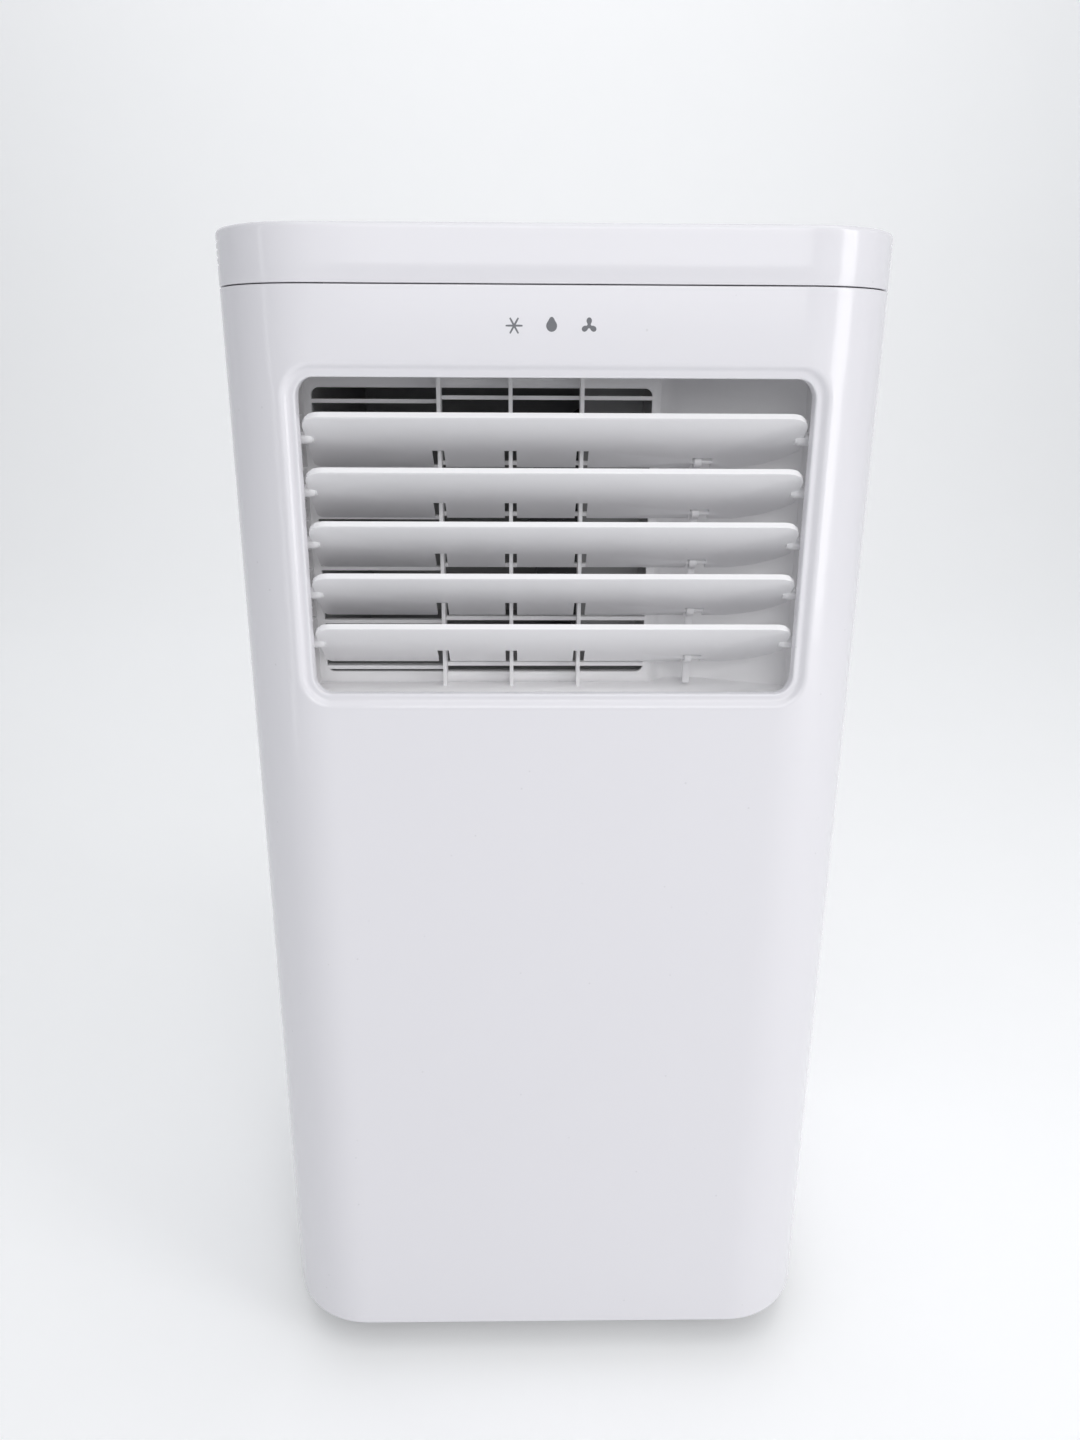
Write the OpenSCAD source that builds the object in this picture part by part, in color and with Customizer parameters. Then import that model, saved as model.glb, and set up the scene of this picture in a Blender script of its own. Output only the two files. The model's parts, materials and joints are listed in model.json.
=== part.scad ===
// Compact portable air conditioner with a front louvre outlet.
// Millimetres. +Z is up, the front faces -Y, and the origin is on the floor
// under the centre of the housing.

/* [Housing] */
// Width of the housing
body_w = 340; // [280:1:420]
// Depth of the housing
body_d = 310; // [256:1:380]
// Height of the housing, without the casters
body_h = 660; // [540:1:800]
// Plan radius of the front corners
front_r = 52; // [42:1:60]
// Plan radius of the rear corners
rear_r = 40; // [30:1:48]
// Wall thickness of the shells
wall = 2.5; // [2:0.1:3.2]
// Height of the band that the top cover shows
cover_h = 25.8; // [24:0.2:34]
// Parting line between two shells
seam = 1; // [0.6:0.1:1.5]
// How far the front panel reaches back along the sides
front_reach = 75; // [62:1:95]
// Clearance between pieces that slip inside one another
fit_gap = 0.3; // [0.2:0.05:0.6]

/* [Outlet] */
// Distance from the side of the housing to the outlet's edge
out_side = 42; // [38:1:60]
// Height of the outlet
out_h = 160; // [135:1:192]
// Distance from the top of the housing to the outlet's upper edge
out_drop = 68.3; // [60:0.1:90]
// Corner radius of the outlet
out_r = 10; // [6:0.5:14]
// Width of the rolled edge round the outlet
roll_w = 7.5; // [5:0.5:10]
// Depth of the rolled edge
roll_d = 5; // [3:0.5:6]
// Depth of the outlet's grille behind the front face
grille_depth = 46.5; // [46:0.5:56]
// Width of the closed part beside the window
closed_w = 76; // [64:1:92]
// Height of one cross bar of the grille
bar_t = 2; // [1.4:0.1:3]
// Distance between the upright ribs
rib_pitch = 37.4; // [31:0.2:45]
// Thickness of an upright rib
rib_t = 2; // [1.5:0.1:3]

/* [Louvres] */
// Tilt of the louvres as stored, front edge up
tilt = 38; // [30:1:45]
// Thickness of a louvre
blade_t = 2.2; // [1.8:0.1:3]
// Pivot to front edge
blade_front = 19.2; // [16:0.1:20]
// Pivot to rear edge
blade_rear = 24.4; // [21:0.1:24.6]
// Depth of the pivots behind the front face
pivot_depth = 20; // [19:0.5:21]
// Radius of a pivot pin
pin_r = 1.5; // [1.2:0.05:2]
// Running clearance of every pin, as a radius
run_gap = 0.06; // [0.02:0.01:0.1]
// Distance of the tie bar's pins from the pivots
tie_arm = 20; // [18:0.5:21]

/* [Fans] */
// Outer radius of the room air wheel
blower_r = 76; // [62:1:80]
// Outer radius of the condenser wheel
cond_wheel_r = 82; // [68:1:90]
// Number of vanes on a wheel
vanes = 24; // [16:1:30]
// Radius of a fan motor
motor_r = 34; // [28:1:38]
// Gap between a wheel and its scroll
wheel_gap = 6; // [4:0.5:8]

/* [Cooling circuit] */
// Radius of the compressor's can
comp_r = 55; // [45:1:60]
// Height of the compressor's can
comp_h = 200; // [165:1:220]
// Thickness of a heat exchanger
coil_t = 30; // [22:1:36]
// Fin pitch of a heat exchanger
fin_pitch = 7; // [5:0.5:10]
// Outer radius of the thick refrigerant lines
line_r = 4; // [3:0.5:5]

/* [Rear side] */
// Inner radius of the exhaust collar
collar_r = 70; // [58:1:72]
// Length of the exhaust collar's bore
collar_len = 24; // [18:1:28]
// Distance from a side of the housing to the filter opening
filter_side = 42; // [40:1:60]
// Height of a slot in the rear intake
slot_h = 5; // [4:0.5:7]
// Pitch of the slots in the rear intake
slot_pitch = 11; // [9:0.5:14]
// Radius of a drain port
drain_r = 8; // [6:0.5:10]

/* [Controls] */
// Width of the control panel
panel_w = 190; // [170:1:220]
// Depth of the control panel
panel_d = 72; // [64:1:84]
// Travel of a button
button_travel = 1.2; // [0.8:0.1:1.6]
// Width of a button
button_w = 20; // [16:1:23]
// Depth of a button
button_d = 10; // [8:0.5:14]

/* [Casters] */
// Height of the housing's bottom edge above the floor
foot_gap = 25; // [23:1:30]
// Radius of a caster wheel
wheel_r = 15; // [12.5:0.5:16]
// Width of one caster wheel
wheel_w = 7; // [5:0.5:8]
// Trail of a caster
trail = 8; // [6:0.5:9]
// Distance from the sides of the housing to a caster's stem
caster_in = 48; // [44:1:60]

/* [Hidden] */

eps = 0.01;
z0 = foot_gap;
z_top = foot_gap + body_h;
y_front = -body_d / 2;
y_rear = body_d / 2;
x_in = body_w / 2 - wall;
z_seam = z_top - cover_h;
y_split = y_front + front_reach;
shell_top = z_seam - seam;
tongue = 9;
tongue_t = 2;

// Outlet recess
out_w = body_w - 2 * out_side;
out_x = out_w / 2;
out_z1 = z_top - out_drop;
out_z0 = out_z1 - out_h;
liner_x = out_x + 3.5;
liner_t = 2;
floor_z = out_z0 - 5.7;
ceiling_z = out_z1 + 0.6;
liner_y0 = y_front + roll_d + 3;
grille_y = y_front + grille_depth;
grille_t = 2.4;
bar_d = 5;
duct_y = grille_y + bar_d;
deep_y = grille_y + 10.5;
win_x0 = -out_x + 0.5;
win_x1 = out_x - closed_w;
win_z0 = floor_z + 6;
win_z1 = out_z1 - 5.3;
rib_y = y_front + 38;

// Louvres
blade_count = 5;
pivot_y = y_front + pivot_depth;
pivot_top = out_z1 - 29.3;
pivot_low = out_z0 + 24.5;
blade_pitch = (pivot_top - pivot_low) / (blade_count - 1);
blade_x = liner_x - 5.5;
tie_x = win_x1 + 23.5;
tie_w = 4;
tie_t = 2.4;
tie_back = 2;
tie_slot = 6.4;

// Rooms inside the housing
deck_z = out_z0 - 40;
deck_t = 3;
coil_y1 = y_rear - 20;
coil_y0 = coil_y1 - coil_t;
coil_x = x_in - 25;
coil_y = (coil_y0 + coil_y1) / 2;
coil_end = 3;
row_pitch = 25;
filter_x = body_w / 2 - filter_side;
filter_z0 = deck_z + 14;
filter_z1 = z_seam - 28;
filter_t = 11;
evap_z0 = deck_z + deck_t + 14;
evap_z1 = filter_z1 + 6;
scroll_t = 2;
air_y0 = grille_y + grille_t + 42;
air_y1 = coil_y0 - 10;
blower_x = x_in - blower_r - wheel_gap - 22;
blower_z = (out_z0 + out_z1) / 2 - 6;
blower_r2 = blower_r + wheel_gap;
cond_r2 = cond_wheel_r + wheel_gap;

cond_z0 = z0 + 45;
comp_x = -(x_in - 82);
comp_y = y_front + 85;
comp_z = z0 + 37;
foot_r = 68;
cond_x = x_in - cond_r2 - 47;
cond_z = cond_z0 + cond_r2;
cond_y0 = comp_y + comp_r + 14;
cond_y1 = coil_y0 - 10;

collar_z = deck_z - collar_r - 14;
collar_flange = 5;
collar_wall = 3;
coil_gap = 8;
cond_coil_top = min(cond_z + cond_r2 - 2, collar_z - collar_r - collar_wall - coil_gap);
collar_y0 = y_rear - collar_len;
duct_x = collar_r + 6;
duct_z0 = cond_z + cond_r2 + scroll_t + 1;
duct_z1 = deck_z - 4;
duct_y0 = cond_y0 + 2;

line_x = -(coil_x + coil_end + line_r + 1);
hot_x = line_x + 12;
suction_y = coil_y0 - 38;
liquid_y = coil_y0 - 22;
small_r = 2.5;
drier_r = 9;
drier_h = 60;
drier_z = coil_row(cond_z0, 0) + 20;
acc_r = 20;
acc_h = 150;
acc_x = comp_x + comp_r + acc_r + 8;
acc_y = comp_y - 8;
acc_z = comp_z + 24;
comp_top = comp_z + comp_h;
hot_z = comp_top + 20;
cold_z = comp_top + 38;
jog_z = min(cold_z + 20, deck_z - 10);

box_w = 88;
box_d = 84;
box_h = 96;
box_x1 = x_in - 12;
box_y0 = y_front + 22;
box_z1 = deck_z - 12;
cap_r = 18;

drain_x = -(x_in - 44);
drain_low_z = z0 + 14;
drain_up_z = deck_z - 30;
gland_x = x_in - 52;
gland_z = z0 + 43;
gland_r = 4;

// Controls
panel_y0 = y_front + 42;
panel_y1 = panel_y0 + panel_d;
panel_t = 2.5;
button_top = z_top - 0.2;
panel_z = button_top - button_travel + 0.2;
top_t = 3;
well_drop = 15;
button_gap = 0.4;
button_row = panel_y0 + 20;
button_step = panel_w / 6 - 1;

// Casters
pocket_r = 29;
pocket_h = 13;
stem_r = 4;
stem_h = 15;
disc_r = 14;
disc_t = 4;
caster_x = body_w / 2 - caster_in;
caster_y = body_d / 2 - caster_in;
disc_z = z0 + pocket_h - 2 - disc_t;
wheel_gap_x = 0.6;
fork_t = 5;
axle_r = 2.5;

// Plan outline of the housing, moved inwards by inset
module plan(inset = 0) {
    hw = body_w / 2 - inset;
    hd = body_d / 2 - inset;
    rf = front_r - inset;
    rr = rear_r - inset;
    for (s = [-1, 1]) {
        translate([s * (hw - rf), -hd + rf]) circle(rf, $fn = 96);
        translate([s * (hw - rr), hd - rr]) circle(rr, $fn = 96);
    }
    translate([-hw + rf, -hd]) square([2 * (hw - rf), hd]);
    translate([-hw + rr, 0]) square([2 * (hw - rr), hd]);
    translate([-hw, -hd + rf]) square([2 * hw, 2 * hd - rf - rr]);
}

// Wall between two insets, from z_a to z_b
module ring_wall(in_a, in_b, z_a, z_b) {
    translate([0, 0, z_a]) linear_extrude(z_b - z_a) difference() {
        plan(in_a);
        plan(in_b);
    }
}

// Everything in front of (side -1) or behind (side 1) the plane y
module half_space(y, side) {
    far = body_w + body_d;
    low = side < 0 ? y - far : y;
    translate([-far, low, -far]) cube([2 * far, far, body_h + 3 * far]);
}

// Flat rectangle with four round corners, centred
module round_rect(w, h, r) {
    for (sx = [-1, 1], sy = [-1, 1])
        translate([sx * (w / 2 - r), sy * (h / 2 - r)]) circle(r, $fn = 32);
    square([w - 2 * r, h], center = true);
    square([w, h - 2 * r], center = true);
}

// Upright slab with round corners, facing the front, from depth y_a to y_b
module front_slab(w, h, r, y_a, y_b) {
    translate([0, y_b, (out_z0 + out_z1) / 2]) rotate([90, 0, 0])
        linear_extrude(y_b - y_a) round_rect(w, h, r);
}

// Cylinder along Y from y_a to y_b
module y_cyl(x, z, r, y_a, y_b) {
    translate([x, y_b, z]) rotate([90, 0, 0]) cylinder(r = r, h = y_b - y_a, $fn = 64);
}

// Cylinder along X from x_a to x_b
module x_cyl(y, z, r, x_a, x_b) {
    translate([x_a, y, z]) rotate([0, 90, 0]) cylinder(r = r, h = x_b - x_a, $fn = 32);
}

// Box between two corners
module block(a, b) {
    translate(a) cube(b - a);
}

// Round line through the points p
module pipe(p, r) {
    for (i = [0 : len(p) - 2]) {
        v = p[i + 1] - p[i];
        translate(p[i]) rotate([0, acos(v[2] / norm(v)), atan2(v[1], v[0])])
            cylinder(r = r, h = norm(v), $fn = 24);
    }
    for (i = [1 : 1 : len(p) - 2]) translate(p[i]) sphere(r, $fn = 24);
}

// ---- Shells ----

module base_pan() {
    pan = wall + fit_gap;
    pan_t = 3;
    rim = 30;
    boss_r = 9;
    boss_h = 20;
    stay_t = 8;
    stay_h = 40;
    color("whitesmoke") difference() {
        union() {
            ring_wall(pan, pan + 2, z0, z0 + rim);
            translate([0, 0, z0]) linear_extrude(pan_t) plan(pan);
            for (sx = [-1, 1], sy = [-1, 1]) translate([sx * caster_x, sy * caster_y, 0]) {
                translate([0, 0, z0]) cylinder(r = pocket_r + 2, h = pocket_h + pan_t, $fn = 64);
                translate([0, 0, z0]) cylinder(r = stem_r + 3, h = pocket_h + stem_h + 2, $fn = 48);
            }
            for (a = [90, 210, 330])
                translate([comp_x + foot_r * cos(a), comp_y + foot_r * sin(a), z0])
                    cylinder(r = boss_r, h = boss_h, $fn = 48);
            for (sx = [-1, 1]) block(
                [cond_x + sx * cond_r2 * 0.8 - stay_t / 2, coil_y0 - 4, z0],
                [cond_x + sx * cond_r2 * 0.8 + stay_t / 2, coil_y0, z0 + stay_h]);
        }
        for (sx = [-1, 1], sy = [-1, 1]) translate([sx * caster_x, sy * caster_y, 0]) {
            translate([0, 0, z0 - eps]) cylinder(r = pocket_r, h = pocket_h + eps, $fn = 64);
            cylinder(r = stem_r + run_gap, h = z0 + pocket_h + stem_h, $fn = 48);
        }
        y_cyl(drain_x, drain_low_z, drain_r, y_rear - 20, y_rear);
    }
}

module front_panel() {
    collar_w = 3;
    color("white") difference() {
        union() {
            intersection() {
                ring_wall(0, wall, z0, shell_top);
                half_space(y_split, -1);
            }
            intersection() {
                front_slab(out_w + 2 * (roll_w + collar_w), out_h + 2 * (roll_w + collar_w),
                    out_r + roll_w + collar_w, y_front, liner_y0);
                translate([0, 0, z0]) linear_extrude(body_h) plan(0);
            }
        }
        hull() {
            front_slab(out_w + 2 * roll_w, out_h + 2 * roll_w, out_r + roll_w,
                y_front - 1, y_front + eps);
            front_slab(out_w + 1, out_h + 1, out_r + 0.5, y_front + roll_d - eps,
                y_front + roll_d);
        }
        front_slab(out_w, out_h, out_r, y_front - 1, liner_y0 + 1);
        front_mark();
    }
}

module rear_shell() {
    slot_rows = floor((cond_coil_top - z0 - 62) / slot_pitch);
    slot_cols = 4;
    slot_bar = 6;
    slot_up = 56;
    slot_w = (2 * filter_x - (slot_cols - 1) * slot_bar) / slot_cols;
    color("white") difference() {
        union() {
            intersection() {
                ring_wall(0, wall, z0, shell_top);
                half_space(y_split + seam, 1);
            }
            for (s = [-1, 1]) block(
                [s > 0 ? x_in - tongue_t : -x_in, y_split - tongue, z0 + 45],
                [s > 0 ? x_in : -x_in + tongue_t, y_split + seam + 4, shell_top - 20]);
            y_cyl(0, collar_z, collar_r + collar_wall + 4, y_rear - 7, y_rear - wall + eps);
        }
        block([-filter_x, y_rear - 10, filter_z0], [filter_x, y_rear + 1, filter_z1]);
        y_cyl(0, collar_z, collar_r + collar_wall + fit_gap, y_rear - 20, y_rear + 1);
        for (i = [0 : slot_rows - 1], j = [0 : slot_cols - 1])
            translate([-filter_x + j * (slot_w + slot_bar), y_rear - 10,
                z0 + slot_up + i * slot_pitch])
                cube([slot_w, 12, slot_h]);
        for (z = [drain_low_z, drain_up_z]) y_cyl(drain_x, z, drain_r, y_rear - 20, y_rear + 1);
        y_cyl(gland_x, gland_z, gland_r + 3, y_rear - 20, y_rear + 1);
        screw_holes();
    }
}

// Places of the case screws on the rear face
screw_in = 25;
screw_spots = [for (s = [-1, 1], z = [z0 + 48, deck_z - 60, shell_top - 12])
    [s * (x_in - screw_in), z]];

screw_r = 1.9;
head_r = 3.6;
head_t = 1.4;

module screw_holes() {
    for (p = screw_spots) {
        y_cyl(p[0], p[1], screw_r, y_rear - 10, y_rear + 1);
        y_cyl(p[0], p[1], head_r, y_rear - head_t, y_rear + 1);
    }
}

module case_screws() {
    color("silver") for (p = screw_spots) {
        y_cyl(p[0], p[1], head_r, y_rear - head_t, y_rear - 0.2);
        y_cyl(p[0], p[1], screw_r, y_rear - 9, y_rear - head_t);
    }
}

// Grip opening in the side of the top cover
grip_w = 104;
grip_h = 15;
grip_deep = 22;
grip_y = 8;
grip_z = (z_seam + z_top) / 2 - 1;

module top_cover() {
    groove_t = 1.4;
    groove_d = 0.9;
    groove_down = 6.3;
    groove_pitch = 3.45;
    groove_from = 31;
    color("white") difference() {
        union() {
            ring_wall(0, wall, z_seam, z_top);
            translate([0, 0, z_top - top_t]) linear_extrude(top_t) plan(0);
            ring_wall(wall + fit_gap, wall + fit_gap + tongue_t, z_seam - tongue, z_top - top_t);
            block([-panel_w / 2 - 3, panel_y0 - 3, z_top - top_t - well_drop],
                [panel_w / 2 + 3, panel_y1 + 3, z_top - top_t + eps]);
        }
        block([-panel_w / 2, panel_y0, z_top - top_t - well_drop + 2],
            [panel_w / 2, panel_y1, z_top + 1]);
        for (s = [-1, 1]) {
            block([s > 0 ? x_in - 12 : -x_in - 6, grip_y - grip_w / 2, grip_z - grip_h / 2],
                [s > 0 ? x_in + 6 : -x_in + 12, grip_y + grip_w / 2, grip_z + grip_h / 2]);
        }
        for (i = [0 : 3]) intersection() {
            translate([0, 0, z_top - groove_down - i * groove_pitch])
                linear_extrude(groove_t) difference() {
                    plan(-1);
                    plan(groove_d);
                }
            block([-body_w, y_front + groove_from, 0], [body_w, grip_y - grip_w / 2 - 6, z_top]);
        }
    }
}

// Cup of a hand grip, on side s
module grip_cup(s) {
    t = 1.8;
    x_a = body_w / 2 - 0.4;
    color("gainsboro") difference() {
        block([s > 0 ? x_a - grip_deep : -x_a, grip_y - grip_w / 2, grip_z - grip_h / 2],
            [s > 0 ? x_a : -x_a + grip_deep, grip_y + grip_w / 2, grip_z + grip_h / 2]);
        block([s > 0 ? x_a - grip_deep + t : -x_a - 1,
                grip_y - grip_w / 2 + t, grip_z - grip_h / 2 + t],
            [s > 0 ? x_a + 1 : -x_a + grip_deep - t,
                grip_y + grip_w / 2 - t, grip_z + grip_h / 2 - t]);
    }
}

module grip_left() {
    grip_cup(-1);
}

module grip_right() {
    grip_cup(1);
}

// ---- Controls ----

// Places of the buttons, left to right
function button_at(i) = [(i - 2.5) * button_step, button_row];

display_w = 60;
display_d = 20;
display_y = panel_y1 - 20;

module control_panel() {
    color("lightgray") difference() {
        block([-panel_w / 2 + fit_gap, panel_y0 + fit_gap, panel_z - panel_t],
            [panel_w / 2 - fit_gap, panel_y1 - fit_gap, panel_z]);
        for (i = [0 : 5]) translate([button_at(i)[0], button_at(i)[1], panel_z - panel_t - 1])
            linear_extrude(panel_t + 2)
                round_rect(button_w + 2 * button_gap, button_d + 2 * button_gap, 3 + button_gap);
        block([-display_w / 2, display_y - display_d / 2, panel_z - 1.2],
            [display_w / 2, display_y + display_d / 2, panel_z + 1]);
    }
}

module display_window() {
    color("black")
        block([-display_w / 2 + fit_gap, display_y - display_d / 2 + fit_gap, panel_z - 1.2],
            [display_w / 2 - fit_gap, display_y + display_d / 2 - fit_gap, panel_z]);
}

module button(i) {
    skirt = 1.5;
    translate([button_at(i)[0], button_at(i)[1], 0]) {
        translate([0, 0, panel_z - panel_t - 1.6]) linear_extrude(button_top - panel_z + panel_t + 1.6)
            round_rect(button_w, button_d, 3);
        translate([0, 0, panel_z - panel_t - 2]) linear_extrude(1.6)
            round_rect(button_w + 2 * skirt, button_d + 2 * skirt, 3);
    }
}

module button_power() {
    color("lightgray") button(0);
}

module button_mode() {
    color("lightgray") button(1);
}

module button_speed() {
    color("lightgray") button(2);
}

module button_timer() {
    color("lightgray") button(3);
}

module button_down() {
    color("lightgray") button(4);
}

module button_up() {
    color("lightgray") button(5);
}

// Plain mark inlaid above the outlet: a star, a drop and a three-blade rotor
module front_mark() {
    mark_r = 4;
    mark_t = 0.3;
    mark_z = out_z1 + 23.5;
    mark_step = 18;
    color("dimgray") translate([-2.5, y_front + mark_t, mark_z]) rotate([90, 0, 0]) {
        translate([-mark_step, 0, 0]) linear_extrude(mark_t) for (a = [0, 60, 120])
            rotate(a) square([2 * mark_r, 0.9], center = true);
        linear_extrude(mark_t) {
            translate([0, -1.1]) circle(mark_r - 1.1, $fn = 32);
            polygon([[-2.3, 0.6], [2.3, 0.6], [0, mark_r]]);
        }
        translate([mark_step, 0, 0]) linear_extrude(mark_t) {
            circle(1.1, $fn = 24);
            for (a = [90, 210, 330]) rotate(a) translate([2.4, 0]) circle(1.5, $fn = 24);
        }
    }
}

// ---- Outlet ----

// Plan of the recess between the closed side and the grille, grown by g
module recess_plan(g = 0) {
    polygon([
        [-liner_x - g, liner_y0],
        [liner_x + g, liner_y0],
        [liner_x + g, grille_y - 8 + g],
        [win_x1 + 30 + g, deep_y + g],
        [win_x1 + 14 - g, deep_y + g],
        [win_x1 + 8 - g, grille_y + 5.5 + g],
        [win_x1 + 4.5, grille_y + (g > 0 ? grille_t : 0)],
        [-liner_x - g, grille_y + (g > 0 ? grille_t : 0)]
    ]);
}

module outlet_liner() {
    flange = 5;
    color("white") difference() {
        union() {
            translate([0, 0, floor_z - liner_t]) linear_extrude(ceiling_z - floor_z + 2 * liner_t)
                recess_plan(liner_t);
            for (s = [-1, 1], k = [0 : blade_count - 1])
                x_cyl(pivot_y, pivot_top - k * blade_pitch, pin_r + 2.5,
                    s > 0 ? liner_x + 0.5 : -liner_x - 5, s > 0 ? liner_x + 5 : -liner_x - 0.5);
        }
        translate([0, 0, floor_z]) linear_extrude(ceiling_z - floor_z) recess_plan(0);
        block([-liner_x - 1, liner_y0 - 1, floor_z], [liner_x + 1, liner_y0 + eps, ceiling_z]);
        block([-liner_x, grille_y, floor_z], [win_x1 + 4.5, grille_y + grille_t + 1, ceiling_z]);
        for (s = [-1, 1], k = [0 : blade_count - 1])
            x_cyl(pivot_y, pivot_top - k * blade_pitch, pin_r + run_gap,
                s > 0 ? liner_x - 1 : -liner_x - 6, s > 0 ? liner_x + 6 : -liner_x + 1);
    }
}

// Heights of the cross bars above the housing's outlet floor, and their step
// down in the wide bay on the left
bar_up = [9.5, 36, 66, 94, 121, 154.5];
bay_step = 2;

module outlet_grille() {
    x_a = -liner_x;
    x_b = win_x1 + 4.5;
    rib_x = [for (k = [1 : 3]) win_x1 - k * rib_pitch];
    color("white") {
        difference() {
            block([x_a, grille_y, floor_z], [x_b, grille_y + grille_t, ceiling_z]);
            translate([(win_x0 + win_x1) / 2, grille_y + grille_t + 1, (win_z0 + win_z1) / 2])
                rotate([90, 0, 0]) linear_extrude(grille_t + 2)
                    round_rect(win_x1 - win_x0, win_z1 - win_z0, 4);
        }
        for (z = bar_up) {
            block([rib_x[2], grille_y, floor_z + z], [win_x1 + eps, grille_y + bar_d, floor_z + z + bar_t]);
            block([win_x0 - eps, grille_y, floor_z + z - bay_step],
                [rib_x[2], grille_y + bar_d, floor_z + z + bar_t - bay_step]);
        }
        for (x = rib_x)
            block([x - rib_t / 2, rib_y, floor_z], [x + rib_t / 2, grille_y + bar_d, ceiling_z]);
    }
}

// Outline of a louvre: x across the outlet, y from the pivot to the rear
module blade_outline() {
    r_front = 9.5;
    r_back = 4;
    cut = 30;
    difference() {
        union() {
            for (s = [-1, 1]) translate([s * (blade_x - r_front), -blade_front + r_front])
                circle(r_front, $fn = 48);
            translate([-blade_x + r_front, -blade_front]) square([2 * (blade_x - r_front), r_front]);
            translate([-blade_x, -blade_front + r_front])
                square([2 * blade_x, blade_front - r_front + blade_rear - r_back]);
            translate([-blade_x + r_back, 0]) square([2 * (blade_x - r_back), blade_rear]);
            translate([-blade_x + r_back, blade_rear - r_back]) circle(r_back, $fn = 32);
        }
        polygon([[blade_x + 1, 7], [blade_x, 8.6], [blade_x - 6, 14.3], [blade_x - 16, 20.3],
            [blade_x - cut, blade_rear], [blade_x - cut, blade_rear + 1], [blade_x + 1, blade_rear + 1]]);
        for (k = [1 : 3]) translate([win_x1 - k * rib_pitch - 3.2, blade_rear - 14.9]) square([6.4, 16]);
        translate([tie_x - tie_w / 2 - 1.2, tie_arm - 4.6]) square([tie_w + tie_slot, 12]);
    }
}

module louvre(k) {
    lip = 0.4;
    z = pivot_top - k * blade_pitch;
    tie_x0 = tie_x - tie_w / 2 - 1.2 - 1;
    boss_r = 2.5;
    color("white") {
        translate([0, pivot_y, z]) rotate([-tilt, 0, 0]) {
            translate([0, 0, -blade_t / 2]) linear_extrude(blade_t) blade_outline();
            intersection() {
                translate([0, 0, -blade_t / 2 - lip]) linear_extrude(blade_t + 2 * lip) blade_outline();
                block([-blade_x, -blade_front, -5], [blade_x, -blade_front + 2, 5]);
            }
            x_cyl(tie_arm, 0, pin_r - 0.1, tie_x0, tie_x0 + tie_w + tie_slot + 2);
        }
        for (s = [-1, 1]) {
            x_cyl(pivot_y, z, pin_r, min(s * (blade_x - 1), s * (liner_x + 2)),
                max(s * (blade_x - 1), s * (liner_x + 2)));
            x_cyl(pivot_y, z, boss_r, min(s * (blade_x - 4), s * (liner_x - 0.8)),
                max(s * (blade_x - 4), s * (liner_x - 0.8)));
        }
    }
}

module louvre_1() {
    louvre(0);
}

module louvre_2() {
    louvre(1);
}

module louvre_3() {
    louvre(2);
}

module louvre_4() {
    louvre(3);
}

module louvre_5() {
    louvre(4);
}

// Upright bar behind the louvres, with an eye on each louvre's cross pin
module tie_bar() {
    y_pin = pivot_y + tie_arm * cos(tilt);
    z_pin = pivot_top - tie_arm * sin(tilt);
    eye_r = 3.1;
    foot = floor_z + 2;
    color("white") difference() {
        union() {
            block([tie_x - tie_w / 2, y_pin + tie_back, foot],
                [tie_x + tie_w / 2, y_pin + tie_back + tie_t, z_pin + eye_r]);
            for (k = [0 : blade_count - 1])
                x_cyl(y_pin, z_pin - k * blade_pitch, eye_r, tie_x - tie_w / 2, tie_x + tie_w / 2);
        }
        for (k = [0 : blade_count - 1])
            x_cyl(y_pin, z_pin - k * blade_pitch, pin_r - 0.1 + run_gap,
                tie_x - tie_w, tie_x + tie_w);
    }
}

// ---- Room air side ----

// Outline of a scroll: a round part at the wheel and a straight run to the side
module scroll_outline(r, x_far, g) {
    circle(r + g, $fn = 96);
    translate([x_far - g, -r - g]) square([-x_far + g, 2 * (r + g)]);
}

module blower_cover() {
    x_far = win_x0 - blower_x;
    t = scroll_t;
    color("gainsboro") difference() {
        union() {
            translate([blower_x, air_y0 + t, blower_z]) rotate([90, 0, 0]) linear_extrude(t)
                scroll_outline(blower_r2, x_far, t);
            block([win_x0 - t, duct_y, win_z0 - t], [win_x1 + t, air_y0 + t, win_z1 + t]);
        }
        block([win_x0, duct_y - 1, win_z0], [win_x1, air_y0, win_z1]);
        block([win_x0, air_y0 - 1, win_z0], [blower_x - motor_r - 12, air_y0 + t + 1,
            blower_z + blower_r2 - t]);
        y_cyl(blower_x, blower_z, 3, air_y0 - 1, air_y0 + t + 1);
    }
}

module blower_scroll() {
    x_far = win_x0 - blower_x;
    t = scroll_t;
    color("gainsboro") translate([blower_x, air_y1, blower_z]) rotate([90, 0, 0]) difference() {
        linear_extrude(air_y1 - air_y0 - t) scroll_outline(blower_r2, x_far, t);
        translate([0, 0, t]) linear_extrude(air_y1 - air_y0) scroll_outline(blower_r2, x_far, 0);
        translate([0, 0, -1]) cylinder(r = blower_r - 12, h = t + 2, $fn = 64);
    }
}

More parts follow.
